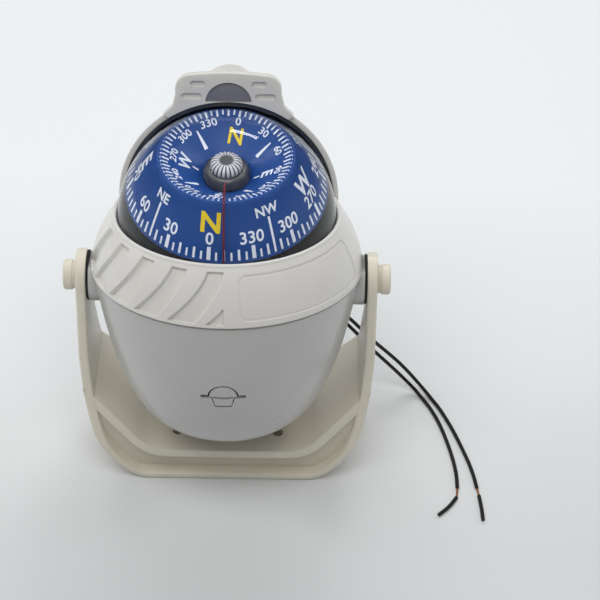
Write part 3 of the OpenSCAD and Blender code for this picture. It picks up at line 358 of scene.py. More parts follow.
def clearLiquid(name):
    # the dome and the liquid behind it as one clear body; shadow rays pass, so the card is lit as in a full capsule
    made = Finish(name, Base_Color=(0.97, 0.985, 1.0, 1.0), Transmission_Weight=1.0, IOR=1.45, Specular_IOR_Level=0.5)
    haze = made.noise(30.0, 3.0, 0.6)
    made.feed(made.shader, "Roughness", haze.above(0.5, 0.9) * 0.015)
    passing = made.node("ShaderNodeBsdfTransparent", {"Color": (0.97, 0.985, 1.0, 1.0)}, out="BSDF")
    shadow = made.node("ShaderNodeLightPath", out="Is Shadow Ray")
    shown = made.node("ShaderNodeMixShader", {0: shadow, 1: Wire(made, made.shader.outputs["BSDF"]), 2: passing})
    made.tree.links.new(shown.socket, made.tree.nodes["Material Output"].inputs["Surface"])
    return made.material


def ribbedCapGrey(name, light, dark, ribs):
    # painted highlight on the ribs and painted shade in the grooves, by the angle round the card's axis; darker near
    # the axis
    made = Finish(name, Specular_IOR_Level=0.4)
    centred = made.node("ShaderNodeMapping", {"Vector": made.place(), "Location": (0, -domeCentre[1] * mm, 0),
                                              "Scale": (1, 1, 0)})
    reach = made.node("ShaderNodeVectorMath", {0: centred}, out="Value", operation="LENGTH")
    across = made.node("ShaderNodeSeparateXYZ", {"Vector": centred}, out="X")
    along = made.node("ShaderNodeSeparateXYZ", {"Vector": centred}, out="Y")
    angle = made.node("ShaderNodeMath", {0: along, 1: across}, operation="ARCTAN2")
    wave = made.node("ShaderNodeMath", {0: angle * (ribs / 2)}, operation="SINE")
    height = made.node("ShaderNodeMath", {0: wave}, operation="ABSOLUTE")
    cloud = made.noise(300.0, 3.0)
    tone = made.mixed(height.above(0.25, 0.7) * reach.above(0.0018, 0.0026), tint(*dark), tint(*light))
    made.feed(made.shader, "Base Color", made.mixed(cloud * 0.2, tone, tint(*light, share=0.5)))
    made.feed(made.shader, "Roughness", 0.42 + (cloud - 0.5) * 0.1)
    made.bump(made.noise(900.0, 3.0), 0.06, 0.1)
    return made.material


finishes = {
    "ivory": moulded("ivoryPlastic", (220, 214, 198), 0.36, 0.15, 0.06, 0.03, 0.06),
    "white": moulded("whitePlastic", (221, 219, 214), 0.3, 0.3, 0.02, 0.02),
    # the bowl's and cover's white: the same plastic as the white parts, made darker as painted shade
    "bowlWhitePaintedShade": moulded("bowlWhitePaintedShade", (190, 190, 188), 0.3, 0.3, 0.02, 0.02),
    "black": moulded("blackPlastic", (38, 39, 41), 0.5, 0.0, 0.12, 0.12),
    "gloss": moulded("blackGloss", (50, 51, 55), 0.2, 0.4, 0.03, 0.1),
    "rubber": moulded("blackRubber", (28, 28, 29), 0.62, 0.0, 0.15, 0.12),
    "blue": moulded("cardBlue", (8, 57, 120), 0.42, 0.0, 0.05, 0.05),
    "print": moulded("whitePrint", (206, 210, 218), 0.5, 0.0, 0.04, 0.04),
    "yellow": moulded("yellowPrint", (208, 180, 26), 0.5, 0.0, 0.04, 0.05),
    "red": moulded("redLine", (92, 14, 20), 0.35, 0.1, 0.04, 0.1),
    # ribbed cap: grey with a painted highlight on the ribs and painted shade in the grooves
    "grey": ribbedCapGrey("ribbedGreyPaintedLight", (176, 175, 179), (40, 41, 46), 20),
    "smoky": moulded("smokyWindow", (122, 122, 128), 0.18, 0.5, 0.02, 0.04),
    "copper": metal("bareCopper", (196, 128, 84), 0.35),
    "brass": metal("turnedBrass", (200, 168, 104), 0.3),
    "steel": metal("turnedSteel", (176, 178, 182), 0.28),
    "magnet": metal("magnetSteel", (96, 96, 100), 0.4),
    "board": moulded("boardGreen", (34, 92, 52), 0.35, 0.2, 0.05, 0.08),
    "lamp": moulded("lampLens", (226, 140, 120), 0.15, 0.5, 0.02, 0.05),
    "wireRed": moulded("redInsulation", (130, 26, 26), 0.45, 0.0, 0.08, 0.08),
    "clear": clearLiquid("clearCapsule"),
}
print("finishes made")


def dress(piece, finish, body, nodes=()):
    piece.data.materials.clear()
    piece.data.materials.append(finishes[finish])
    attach(piece, body)
    if nodes:
        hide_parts(*nodes)
    return piece


nodeFinish = {
    "black": ["capsule_base", "gimbal_ring", "gimbal_frame"],
    "rubber": ["left_washer", "right_washer", "capsule_seal", "diaphragm", "lead_gland"],
    "brass": ["left_insert", "right_insert", "filler_plug", "counterweight", "card_bush", "fore_aft_rod", "cross_rod"],
    "steel": ["left_stud", "right_stud", "capsule_screws", "diaphragm_ring", "diaphragm_screws", "ring_pins",
              "frame_pins", "cover_pin"],
    "magnet": ["card_magnets", "fore_aft_magnet", "cross_magnet"],
    "board": ["lamp_board"], "lamp": ["lamp_leds"], "wireRed": ["lamp_leads"],
}
for finish, names in nodeFinish.items():
    for name in names:
        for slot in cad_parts[name].material_slots:
            slot.material = finishes[finish]

# leads: the routes of the two free leads, in millimetres, and what is left on their ends
leads = {"radius": 0.75, "bareRadius": 0.42, "sides": 12, "twists": 2.5, "strandAt": 0.62, "strandSize": 0.34}
leadRoutes = {
    "left": [[33.4, 31, 45.1], [35.8, 31.05, 44.5], [38.4, 31.2, 43.2], [42, 31.6, 40.6], [46, 32, 36.6],
             [50.5, 31.8, 31.4], [55, 31, 26.2], [59.5, 30.3, 21], [64.5, 30, 15.4], [69.5, 29.6, 9.8],
             [73.5, 28.9, 5.4], [77, 27.2, 2.3], [80, 23.6, 0.9], [82.4, 19.4, 0.75], [84.6, 14.6, 0.75],
             [86.5, 9.4, 0.75], [88.2, 3.6, 0.75], [89.7, -2.6, 0.75], [91, -9, 0.75], [92, -15.4, 0.75],
             [92.5, -21.4, 0.75], [92.5, -27.4, 0.75]],
    "right": [[33.4, 31, 47], [35.8, 31, 46.8], [38.4, 31.1, 46], [42, 31.4, 44.2],
              [46, 31.7, 41], [50.5, 31.4, 36.2], [55, 30.8, 31.2], [59.5, 30.4, 26.2], [64.5, 30.2, 21],
              [69.5, 30, 15.6], [74, 29.6, 10.2], [78, 28.6, 5.4], [81.6, 26.2, 2.1], [84.6, 22.2, 0.85],
              [87.2, 17.4, 0.75], [89.7, 11.6, 0.75], [92, 5.6, 0.75], [94.2, -1, 0.75], [96.2, -7.6, 0.75],
              [98, -14, 0.75], [99.4, -20.6, 0.75], [100.4, -27.3, 0.75]],
}
bareRoutes = {"left": [[92.5, -27.4, 0.75], [92, -32.4, 0.75]],
              "right": [[100.4, -27.3, 0.75], [101, -31.4, 0.75]]}
sleeveRoutes = {"left": [[92, -32.4, 0.75], [88.6, -37.6, 0.75], [84.4, -42, 0.75]],
                "right": [[101, -31.4, 0.75], [101.6, -37.8, 0.75], [101.9, -44.3, 0.75]]}


def makeLeads(v):
    for side in ("left", "right"):
        line = smoothLine(leadRoutes[side], 150)
        insulation = meshObject(side + "LeadInsulation", [tubeAlong(line, v["radius"], v["sides"])])
        dress(insulation, "rubber", "bracket", [side + "_lead"])
        twist = np.linspace(0, 2 * np.pi * v["twists"], 40)[:, None]
        core = smoothLine(bareRoutes[side], 40)
        along = (core[-1] - core[0]) / np.linalg.norm(core[-1] - core[0])
        sideways = np.cross(along, [0, 0, 1.0])
        strands = []
        for k in range(7):                                   # six strands twisted round a straight one
            turn = twist + k * np.pi / 3
            reach = v["bareRadius"] * v["strandAt"] * (k < 6)
            strands.append(tubeAlong(core + reach * (np.cos(turn) * sideways + np.sin(turn) * [0, 0, 1.0]),
                                     v["bareRadius"] * v["strandSize"], 6))
        bare = dress(meshObject(side + "Strands", strands), "copper", "bracket", [side + "_bare_end"])
        tip = smoothLine(sleeveRoutes[side], 30)
        sleeve = dress(meshObject(side + "CutSleeve", [tubeAlong(tip, v["radius"], v["sides"])]), "rubber",
                       "bracket", [side + "_end_sleeve"])
        length = float(np.linalg.norm(np.diff(line, axis=0), axis=1).sum())
        print(side, "lead", round(length, 1), "mm")
        (np.array(leadRoutes[side][0]) * mm).tolist()


makeLeads(leads)
print("leads made")

# bracket: a U strip with an inner floor and a panel set back between them
stand = {"halfSpan": 57.3, "armWall": 3.9, "stripWall": 3.1, "depth": 48.0, "topRadius": 10.3, "bendZ": 59.0,
         "floorZ": 16.5, "floorWall": 4.0, "floorRound": 7.0, "floorBend": 0.536, "floorTop": (0.903, 0.688),
         "floorEdge": 0.7, "recess": 5.0, "panelWall": 3.0, "panelGrid": (10, 121), "hole": 2.2, "bossWall": 1.9,
         "holesX": 40.0, "holesY": 26.0, "edge": 1.1,
         "outlineShares": [(0, 0), (0.30, 0), (0.50, 0), (0.576, 0.002), (0.66, 0.035), (0.792, 0.164),
                           (0.913, 0.38), (0.974, 0.688), (1, 1)]}


def stripDepth(z, v):
    # the arms narrow evenly from the floor to the tilt axis and end in a half round
    share = np.clip((z - v["floorZ"]) / (build["pivot"] - v["floorZ"]), 0, 1)
    depth = v["depth"] + (2 * v["topRadius"] - v["depth"]) * share
    over = np.clip(z - build["pivot"], 0, v["topRadius"])
    return np.where(z > build["pivot"], 2 * np.sqrt(np.maximum(v["topRadius"] ** 2 - over ** 2, 1e-4)), depth)


def ribbonAlong(line, thickness, depth, edge, steps=5):
    # a round-cornered rectangle carried along a line in x and z: thickness to its left, depth along y
    along = np.gradient(line, axis=0)
    along /= np.linalg.norm(along, axis=1)[:, None]
    normal = np.column_stack([-along[:, 1], along[:, 0]])
    thickness = np.broadcast_to(thickness, (len(line),))[:, None]
    depth = np.broadcast_to(depth, (len(line),))[:, None]
    edge = np.minimum(np.minimum(edge, depth / 2.02), thickness / 2.02)
    a = np.radians(np.linspace(0, 90, steps))
    corner = [(sx, sy, a + turn) for turn, sx, sy in ((0, 1, 1), (np.pi / 2, 0, 1), (np.pi, 0, 0), (1.5 * np.pi, 1, 0))]
    across = np.concatenate([np.where(sx, thickness - edge, edge) + edge * np.cos(t) for sx, sy, t in corner], 1)
    deep = np.concatenate([np.where(sy, depth / 2 - edge, edge - depth / 2) + edge * np.sin(t)
                           for sx, sy, t in corner], 1)
    points = np.stack([line[:, :1] + normal[:, :1] * across, deep, line[:, 1:] + normal[:, 1:] * across], -1)
    count = across.shape[1]
    faces = quads(len(line), count, False, True).tolist()
    last = (len(line) - 1) * count
    return points.reshape(-1, 3), faces + [list(range(count)), list(range(last, last + count))]


def roundedCorners(points, radius, steps=6):
    # an open line whose corners become arcs, as quadratic curves that leave and rejoin it at the radius
    p = np.asarray(points, float)
    line = [p[:1]]
    t = np.linspace(0, 1, steps)[:, None]
    for before, here, after in zip(p[:-2], p[1:-1], p[2:]):
        start = here + (before - here) / np.linalg.norm(before - here) * radius
        end = here + (after - here) / np.linalg.norm(after - here) * radius
        line.append((1 - t) ** 2 * start + 2 * t * (1 - t) * here + t ** 2 * end)
    return np.concatenate(line + [p[-1:]])


def makeBracket(v):
    half = np.array(v["outlineShares"]) * [v["halfSpan"], v["bendZ"]]
    side = smoothLine(half[1:], 70)
    top = build["pivot"] + v["topRadius"]
    tip = build["pivot"] + v["topRadius"] * np.sin(np.radians(np.linspace(0, 88, 16)))
    rise = np.concatenate([np.linspace(v["bendZ"], build["pivot"], 14)[1:-1], tip, [top - 0.002]])
    right = np.concatenate([half[:1], side, np.column_stack([np.full(len(rise), v["halfSpan"]), rise])])
    outer = np.concatenate([right[::-1] * [-1, 1], right[1:]])
    wall = v["stripWall"] + (v["armWall"] - v["stripWall"]) * softStep(v["floorZ"], v["floorZ"], outer[:, 1])
    body = meshObject("bracketShell", [ribbonAlong(outer, wall, stripDepth(outer[:, 1], v), v["edge"])])
    bendX, (topX, topZ) = v["floorBend"] * v["halfSpan"], np.array(v["floorTop"]) * [v["halfSpan"], v["bendZ"]]
    corners = [(-topX, topZ), (-bendX, v["floorZ"]), (bendX, v["floorZ"]), (topX, topZ)]
    floorLine = resample(roundedCorners(corners, v["floorRound"]), 120)[::-1]
    deep = stripDepth(floorLine[:, 1], v)
    tray = meshObject("tray", [ribbonAlong(floorLine, v["floorWall"], deep - 0.02, v["floorEdge"])])
    rows, columns = v["panelGrid"]
    inside = resample(outer[np.abs(outer[:, 1]) < topZ + 3], columns) + [0, v["stripWall"] * 0.5]
    edgeIn = resample(floorLine[::-1] - [0, v["floorWall"] * 0.5], columns)
    mix = softStep(0.5, 1.0, np.linspace(0, 1, rows))[:, None, None]
    sheet = inside * (1 - mix) + edgeIn * mix
    layers = [np.insert(sheet, 1, y, axis=2).reshape(-1, 3) for y in
              (v["recess"] - v["depth"] / 2, v["recess"] + v["panelWall"] - v["depth"] / 2)]
    n = rows * columns
    faces = quads(rows, columns)
    ring = np.concatenate([np.arange(columns), np.arange(2, rows + 1) * columns - 1,
                           n - 2 - np.arange(columns - 1), np.arange(rows - 2, 0, -1) * columns])
    rim = np.column_stack([ring, np.roll(ring, -1), np.roll(ring, -1) + n, ring + n])
    panel = meshObject("panel", [(np.concatenate(layers), faces.tolist() + (faces + n).tolist() + rim.tolist())])
    places = [(sx * v["holesX"] / 2, sy * v["holesY"] / 2) for sx in (-1, 1) for sy in (-1, 1)]
    bosses = [meshObject("boss", [rod(v["hole"] + v["bossWall"], 1.5, v["floorZ"] - 1, "z", at)]) for at in places]
    body = combine(body, [tray, panel] + bosses, "UNION")
    holes = [meshObject("hole", [rod(v["hole"], -1, v["floorZ"] + 1, "z", at)]) for at in places]
    holes.append(meshObject("axle", [rod(build["bore"], -past, past, "x", (0, build["pivot"]))]))
    body = combine(body, holes, "DIFFERENCE")
    return dress(body, "ivory", "bracket", ["bracket"])


makeBracket(stand)
print("bracket made")

# knobs: a collar and a round head with a soft edge
knob = {"start": 57.4, "collarRadius": 5.4, "collar": 1.5, "radius": 5.9, "head": 3.6, "edge": 1.0, "stud": 2.0,
        "cap": 2.0}


def makeKnobs(v):
    end = v["collar"] + v["head"]
    edge = arc((end - v["edge"], v["radius"] - v["edge"]), v["edge"], 90, 0, 8)[:, ::-1]
    shoulder = arc((v["collar"] + 0.5, v["radius"] - 0.5), 0.5, 180, 90, 5)[:, ::-1]
    profile = np.concatenate([[(v["stud"], 0), (v["collarRadius"] - 0.2, 0), (v["collarRadius"], 0.2),
                               (v["collarRadius"], v["collar"])], shoulder, edge,
                              [(v["radius"] / 2, end), (0, end), (0, end - v["cap"]), (v["stud"], end - v["cap"])]])
    points, faces = spin(profile, 96)
    for side, sign, body in (("left", -1, "left_knob"), ("right", 1, "right_knob")):
        placed = np.column_stack([sign * (v["start"] + points[:, 2]), points[:, 0], points[:, 1] + build["pivot"]])
        dress(meshObject(side + "KnobHead", [(placed, faces)]), "ivory", body, [side + "_knob"])


makeKnobs(knob)

# bowl: a deep superellipse shell with side bosses, a small hinged cover in front and the leads' outlet
bowl = {"radius": 50.9, "deep": 67.5, "wall": 2.4, "power": 4.5, "depthPower": 1.1, "boss": 9.9, "bossStart": 47.0,
        "bossEnd": 52.5, "groove": [(0.95, 0.0), (0.95, 0.8), (0.3, 0.9), (0.06, 1.1)], "grooveEnd": 1.3,
        "outletY": 31.0, "outletZ": 46.05, "outletRadius": 3.9, "outletFrom": 10.8, "outletTo": 22.0,
        "outletBore": 2.72, "boreFrom": 12.0, "boreTo": 24.0, "crossW": -22.0, "rod": 1.65}


def bowlProfile(radius, deep, v, count=70):
    # radius falls as a superellipse from the seam to the bottom
    s = np.sin(np.radians(np.linspace(0, 90, count)))
    return np.column_stack([radius * np.maximum(0, 1 - s ** v["depthPower"]) ** (1 / v["power"]),
                            build["seam"] - deep * s])


def makeBowl(v):
    outer = bowlProfile(v["radius"], v["deep"], v)
    inner = bowlProfile(v["radius"] - v["wall"], v["deep"] - v["wall"], v)
    groove = [v["radius"], build["seam"]] - np.array(v["groove"])
    side = outer[outer[:, 1] < build["seam"] - v["grooveEnd"]]
    shell = meshObject("bowlShell", [spin(np.concatenate([groove, side, inner[::-1]]), 256)], leaned)
    bosses = []
    for sign in (-1, 1):
        ends = sorted((sign * v["bossStart"], sign * v["bossEnd"]))
        boss = rounded(meshObject("sideBoss", [rod(v["boss"], *ends, "x", count=96)], leaned), 0.5, 3, 60)
        below = meshObject("below", [block((-past, -past, -40), (past, past, build["seam"] - 0.05))], leaned)
        bosses.append(combine(boss, [below], "INTERSECT"))
    y, z = v["outletY"], v["outletZ"] - build["pivot"]
    at = (y * leanCos - z * leanSin, y * leanSin + z * leanCos)
    outlet = meshObject("outletBoss", [rod(v["outletRadius"], v["outletFrom"], v["outletTo"], "x", at, 64)], leaned)
    shell = combine(shell, bosses + [rounded(outlet, 0.6, 3, 60)], "UNION")
    bores = [(v["outletBore"], v["boreFrom"], v["boreTo"], at, 48), (v["rod"], 40, past, (0, v["crossW"]), 32),
             (build["bore"], -past, -40, (0, 0), 32), (build["bore"], 40, past, (0, 0), 32)]
    cuts = [meshObject("cut", [rod(radius, low, high, "x", centre, count)], leaned)
            for radius, low, high, centre, count in bores]
    return combine(shell, cuts, "DIFFERENCE")


bowlShell = makeBowl(bowl)
print("bowl made")

# bezel: an arched cone with slanted pockets on its left half and a plain inset panel on its right half
bezel = {"radius": 51.8, "rimOut": 43.4, "rimIn": 41.5, "rimW": 28.0, "bulge": 1.5, "wall": 2.2, "lip": 0.95,
         "pocket": 1.6, "pocketTop": 25.6, "pocketLow": 7.9, "pocketEdge": 0.55,
         "firstLeft": -7.1, "stepTop": 17.3, "lowLeft": -22.7, "stepLow": 16.2, "widthTop": 7.3, "widthLow": 11.0,
         "curve": 1.35, "clipAt": 0.4, "panelFrom": 7.6, "panelTo": 72.0, "panelLow": 9.4, "panelTop": 24.4,
         "panelCorner": 2.4, "panelDeep": 0.28, "grooveHalf": 0.33, "grooveDeep": 0.3, "ledgeV": 15.2,
         "ledgeW": 24.5, "midRadius": 48.0}


def pocketDepth(angle, w, v):
    # slanted pockets: each side is a line that bends towards the seam; smooth walls
    share = np.clip((v["pocketTop"] - w) / (v["pocketTop"] - v["pocketLow"]), 0, 1) ** v["curve"]
    deep = np.zeros_like(w)
    soft = v["pocketEdge"]
    tall = softStep(v["pocketLow"], soft, w) * (1 - softStep(v["pocketTop"], soft, w))
    for k in range(-1, 5):
        left = v["firstLeft"] - v["stepTop"] * k
        left = left + (v["lowLeft"] - v["stepLow"] * k - left) * share
        right = left + v["widthTop"] + (v["widthLow"] - v["widthTop"]) * share
        right = np.minimum(right, v["clipAt"])
        degree = v["midRadius"] * np.pi / 180
        deep = np.maximum(deep, tall * softStep(0, soft, (angle - left) * degree)
                          * softStep(0, soft * 1.5, (right - angle) * degree))
    return deep * v["pocket"]


def panelDepth(angle, w, v):
    # a rounded rectangle on the surface, with a fine groove round a slightly sunken field
    radius = v["midRadius"] * np.pi / 180
    middle = np.array([(v["panelFrom"] + v["panelTo"]) / 2, (v["panelLow"] + v["panelTop"]) / 2])
    half = np.array([(v["panelTo"] - v["panelFrom"]) / 2 * radius, (v["panelTop"] - v["panelLow"]) / 2])
    dx = np.abs((angle - middle[0]) * radius) - half[0] + v["panelCorner"]
    dy = np.abs(w - middle[1]) - half[1] + v["panelCorner"]
    outside = np.hypot(np.maximum(dx, 0), np.maximum(dy, 0)) + np.minimum(np.maximum(dx, dy), 0) - v["panelCorner"]
    groove = np.exp(-(outside / v["grooveHalf"]) ** 2) * v["grooveDeep"]
    return (1 - softStep(0, 0.5, outside)) * v["panelDeep"] + groove


def makeBezel(v):
    low, high = np.array([v["radius"], build["seam"]]), np.array([v["rimOut"], v["rimW"] - v["lip"]])
    run = high - low
    out = np.array([run[1], -run[0]]) / np.linalg.norm(run)
    t = np.linspace(0, 1, 120)[:, None]
    side = low + run * t + out * 4 * v["bulge"] * t * (1 - t)
    foot = arc((v["radius"] - 0.6, build["seam"] + 0.6), 0.6, 270, 355, 4)
    lip = arc((v["rimOut"] - v["lip"], v["rimW"] - v["lip"]), v["lip"], 8, 172, 14)
    side = side[side[:, 1] > build["seam"] + 0.65]
    inner = np.array([(v["rimIn"], v["rimW"] - 2.0), (v["rimIn"], 17.3), (v["radius"] - v["wall"] - 1.4, 12.0),
                      (v["radius"] - v["wall"], 8.0), (v["radius"] - v["wall"], build["seam"])])
    profile = np.concatenate([foot, side, lip, inner])
    angle = np.concatenate([np.linspace(-112, 84, 590, endpoint=False), np.linspace(84, 248, 90, endpoint=False)])
    r, w = profile[None, :, 0], profile[None, :, 1]
    a = angle[:, None]
    onSide = np.zeros(len(profile))
    onSide[len(foot):len(foot) + len(side)] = 1
    carved = (pocketDepth(a + 0 * w, w + 0 * a, v) + panelDepth(a + 0 * w, w + 0 * a, v)) * onSide
    reach = r - carved * out[0]
    rise = w - carved * out[1]
    turn = np.radians(a)
    points = np.stack([reach * np.sin(turn), -reach * np.cos(turn), rise + 0 * a], -1).reshape(-1, 3)
    shell = meshObject("bezelShell", [(points, quads(len(angle), len(profile), True, True))], leaned, sharp=60)
    ledge = meshObject("ledge", [block((-70, v["ledgeV"], v["ledgeW"]), (70, 70, 40))], leaned)
    shell = combine(shell, [ledge], "DIFFERENCE", sharp=60)
    return dress(shell, "white", "bowl", ["bezel"])


makeBezel(bezel)
print("bezel made")

# hood: part of a sphere behind the dome, a lamp plate on top, a lamp box behind it and a rib down the back
hood = {"radius": 45.6, "inner": 43.4, "front": 17.0, "foot": -0.7, "rim": 0.45, "plateHalf": 19.9,
        "plateTop": 52.2, "plateWall": 3.0, "plateLow": 30.5, "corner": 6.0, "bow": 0.9, "edge": 0.55,
        "boxWall": 1.6, "boxDeep": 12.0, "boxDrop": 0.4, "ribRadius": 1.65, "ribAngle": 52.0,
        "flare": (24.6, 35.2), "windowHalf": 8.6, "windowHigh": 8.0, "windowLip": 0.4, "slotDeep": 1.0,
        "slotHigh": 2.6, "slotBase": 0.72, "linerOuter": 43.35, "linerInner": 41.85, "linerFront": 15.75,
        "slotShares": [(-0.66, 0.85, 0.285), (-0.8, 0.62, 0.385), (0.66, 0.85, 0.285), (0.8, 0.62, 0.385)]}
hoodEdge = math.sqrt(hood["radius"] ** 2 - hood["front"] ** 2)
windowLow = math.sqrt(hood["inner"] ** 2 - hood["front"] ** 2) + hood["windowLip"]


def overDome(points):
    # x, v, height over the dome's centre, along the bowl's own axis
    return leaned(np.asarray(points, float) + [0, 0, build["domeAlong"]])


def backShell(outer, inner, front, rim, count=200):
    # two sphere caps behind a plane, joined by a flat rim with rounded edges, spun round the fore-and-aft axis
    ends = [math.sqrt(r ** 2 - (front + rim) ** 2) for r in (inner, outer)]
    innerEdge, outerEdge = (math.degrees(math.asin((front + rim) / r)) for r in (inner, outer))
    out = arc((0, 0), outer, outerEdge + 0.6, 90, 60)
    back = arc((0, 0), inner, 90, innerEdge + 0.6, 60)
    lip = np.concatenate([arc((ends[0] + rim, front + rim), rim, 180, 270, 7),
                          arc((ends[1] - rim, front + rim), rim, 270, 360, 7)])
    points, faces = spin(np.concatenate([out, back, lip]), count)
    return points[:, [0, 2, 1]], faces


def stadium(x, z, length, height, count=14):
    # a slot outline with round ends
    r = height / 2
    reach = length / 2 - r
    return np.concatenate([arc((x + reach, z), r, -90, 90, count), arc((x - reach, z), r, 90, 270, count)])


def halfEllipse(half, high, low, count=48, drop=0.0):
    a = np.radians(np.linspace(0, 180, count))
    line = np.column_stack([half * np.cos(a), low + high * np.sin(a)])
    return np.concatenate([line, [(-half, low - drop), (half, low - drop)]]) if drop else line


def plateOutline(v):
    # lamp plate: straight sides with round upper corners, flared where they run out on the arch
    half, top, c, (flareX, flareZ) = v["plateHalf"], v["plateTop"] - v["bow"], v["corner"], v["flare"]
    t = np.linspace(0, 1, 8)[1:-1, None]
    right = np.concatenate([[(flareX, flareZ), (half + 1.2, flareZ + 3.4), (half, flareZ + 8.0)],
                            arc((half - c, top - c), c, 0, 90, 14),
                            np.hstack([(half - c) * (1 - t), top + v["bow"] * np.sin(np.pi / 2 * t)])])
    foot = np.array([(half, v["plateLow"])])
    return np.concatenate([foot, right, (right * [-1, 1])[::-1], foot * [-1, 1]])


def slab(name, outline, low, high):
    # an outline in x and height over the dome, thick from front to back
    return meshObject(name, [swapYZ(prism(outline, low, high))], overDome)


def underHood(v):
    return meshObject("foot", [block((-past, -past, -past), (past, past, v["foot"]))], overDome)


def makeHood(v):
    half = v["plateWall"] / 2
    shell = meshObject("hoodShell", [backShell(v["radius"], v["inner"], v["front"], v["rim"])], overDome)
    plate = rounded(slab("lampPlate", plateOutline(v), v["front"] - half, v["front"] + half), v["edge"], 3)
    outline = halfEllipse(v["windowHalf"] + v["boxWall"], v["windowHigh"] + v["boxWall"], windowLow,
                          drop=v["boxDrop"] * windowLow)
    box = rounded(slab("lampBox", outline, v["front"], v["front"] + half + v["boxDeep"]), 1.0, 3, 50)
    middle = v["inner"] + 0.55 * (v["radius"] - v["inner"])
    a = np.radians(np.linspace(0, v["ribAngle"], 40))
    path = np.column_stack([0 * a, middle * np.cos(a), middle * np.sin(a)])
    path = np.concatenate([[(0, middle, v["foot"] - 1)], path, path[-1:] + [0, 0, 2], path[-1:] + [0, 0, 9.0]])
    rib = meshObject("rib", [tubeAlong(smoothLine(path, 70), v["ribRadius"], 20)], overDome)
    shell = combine(shell, [plate, box, rib], "UNION")
    ball = np.concatenate([arc((0, 0), v["inner"], -60, 89.9, 80), [(0, -30)]])
    window = halfEllipse(v["windowHalf"], v["windowHigh"], windowLow)
    cuts = [meshObject("inside", [spin(ball, 200)], overDome), underHood(v),
            slab("window", window, v["front"] - 5, v["front"] + half + v["boxDeep"] - v["boxWall"])]
    low = v["slotBase"] * hoodEdge
    for x, z, w in v["slotShares"]:
        height = v["plateTop"] - (1 - z) * (v["plateTop"] - low) - v["slotHigh"] / 2
        outline = stadium(x * (v["plateHalf"] - v["slotHigh"]), height, w * v["plateHalf"], v["slotHigh"])
        cuts.append(slab("slot", outline, v["front"] - half - 2, v["front"] - half + v["slotDeep"]))
    dress(combine(shell, cuts, "DIFFERENCE"), "white", "bowl", ["hood"])
    liner = meshObject("hoodLining", [backShell(v["linerOuter"], v["linerInner"], v["linerFront"], 0.3)], overDome)
    dress(combine(liner, [underHood(v)], "DIFFERENCE"), "gloss", "bowl", ["hood_liner"])
    pane = halfEllipse(v["windowHalf"] - 0.05, v["windowHigh"] - 0.1, windowLow + 0.05)
    lens = slab("lampWindow", pane, v["front"] - half / 2, v["front"] + half / 2)
    dress(rounded(lens, 0.3, 2, 60), "smoky", "bowl", ["lamp_lens"])


makeHood(hood)
print("hood made")

# capsule: the dome and the liquid that fills it, as one clear body that dips into the black base
capsule = {"radius": 41.2, "flange": 43.4, "flangeTop": -8.2, "flangeWall": 2.5, "inside": 40.4, "floor": -28.02}


def makeCapsule(v):
    low = v["flangeTop"] - v["flangeWall"]
    start = math.degrees(math.acos(-v["floor"] / v["inside"])) - 90
    under = math.degrees(math.asin(low / v["inside"]))
    profile = np.concatenate([[(0, v["floor"])], arc((0, 0), v["inside"], start, under, 24),
                              [(v["flange"], low), (v["flange"], v["flangeTop"]), (v["radius"], v["flangeTop"])],
                              arc((0, 0), v["radius"], 0, 90, 90)])
    body = meshObject("clearDome", [spin(profile, 256)], overDome, sharp=30)
    dress(body, "clear", "bowl", ["dome"])


makeCapsule(capsule)
print("capsule made")

# card: a tapered skirt with the outer scale, and a sunken top with the inner scale
card = {"lowRadius": 29.8, "topRadius": 23.2, "low": 5.0, "top": 26.1, "wall": 0.9, "rim": 0.42,
        "craterRadius": 21.4, "craterTop": 25.83, "holeRadius": 5.46, "holeTop": 14.5, "craterRim": 22.25,
        "turn": 10.0, "printWall": 0.035, "proud": 0.03, "cutEvery": 0.9, "bold": 0.085}
outerScale = {"north": (18.8, 7.2), "cardinal": (19.0, 6.6), "between": (20.8, 3.5), "number": (13.3, 4.2),
              "line": (18.4, 6.2), "lineWide": 0.75, "tickLow": 6.1,
              "ticks": {30: (4.4, 1.35), 10: (3.6, 0.85), 5: (2.7, 0.7)}}
innerScale = {"north": (12.6, 4.3), "cardinal": (12.6, 3.9), "number": (16.6, 2.5), "tickOut": 22.1,
              "ticks": {10: (3.9, 0.62), 5: (3.3, 0.5)}, "wedge": (10.2, 15.6, 1.15, 0.4), "dash": (8.2, 10.0, 0.5)}
cardinals = ((90, "E"), (180, "S"), (270, "W"))


def onSkirt(angle, across, up, out):
    # out from the axis: angle in degrees right of the front, millimetres across, height, and distance off the cone
    v = card
    tan = (v["lowRadius"] - v["topRadius"]) / (v["top"] - v["low"])
    radius = v["lowRadius"] - (up - v["low"]) * tan
    turn = np.radians(angle) + across / radius
    cos = 1 / math.sqrt(1 + tan * tan)
    reach = radius + out * cos
    return np.stack([reach * np.sin(turn), -reach * np.cos(turn), up + out * tan * cos], -1)


def onCrater(angle, across, radius, out):
    # the same in the sunken top: angle clockwise from the back, and distance from the axis
    v = card
    slope = (v["craterTop"] - v["holeTop"]) / (v["craterRadius"] - v["holeRadius"])
    rise = v["holeTop"] + np.minimum(radius - v["holeRadius"], v["craterRadius"] - v["holeRadius"]) * slope
    turn = np.radians(angle) + across / radius
    cos = 1 / math.sqrt(1 + slope * slope)
    reach = radius - out * slope * cos
    return np.stack([reach * np.sin(turn), reach * np.cos(turn), rise + out * cos], -1)


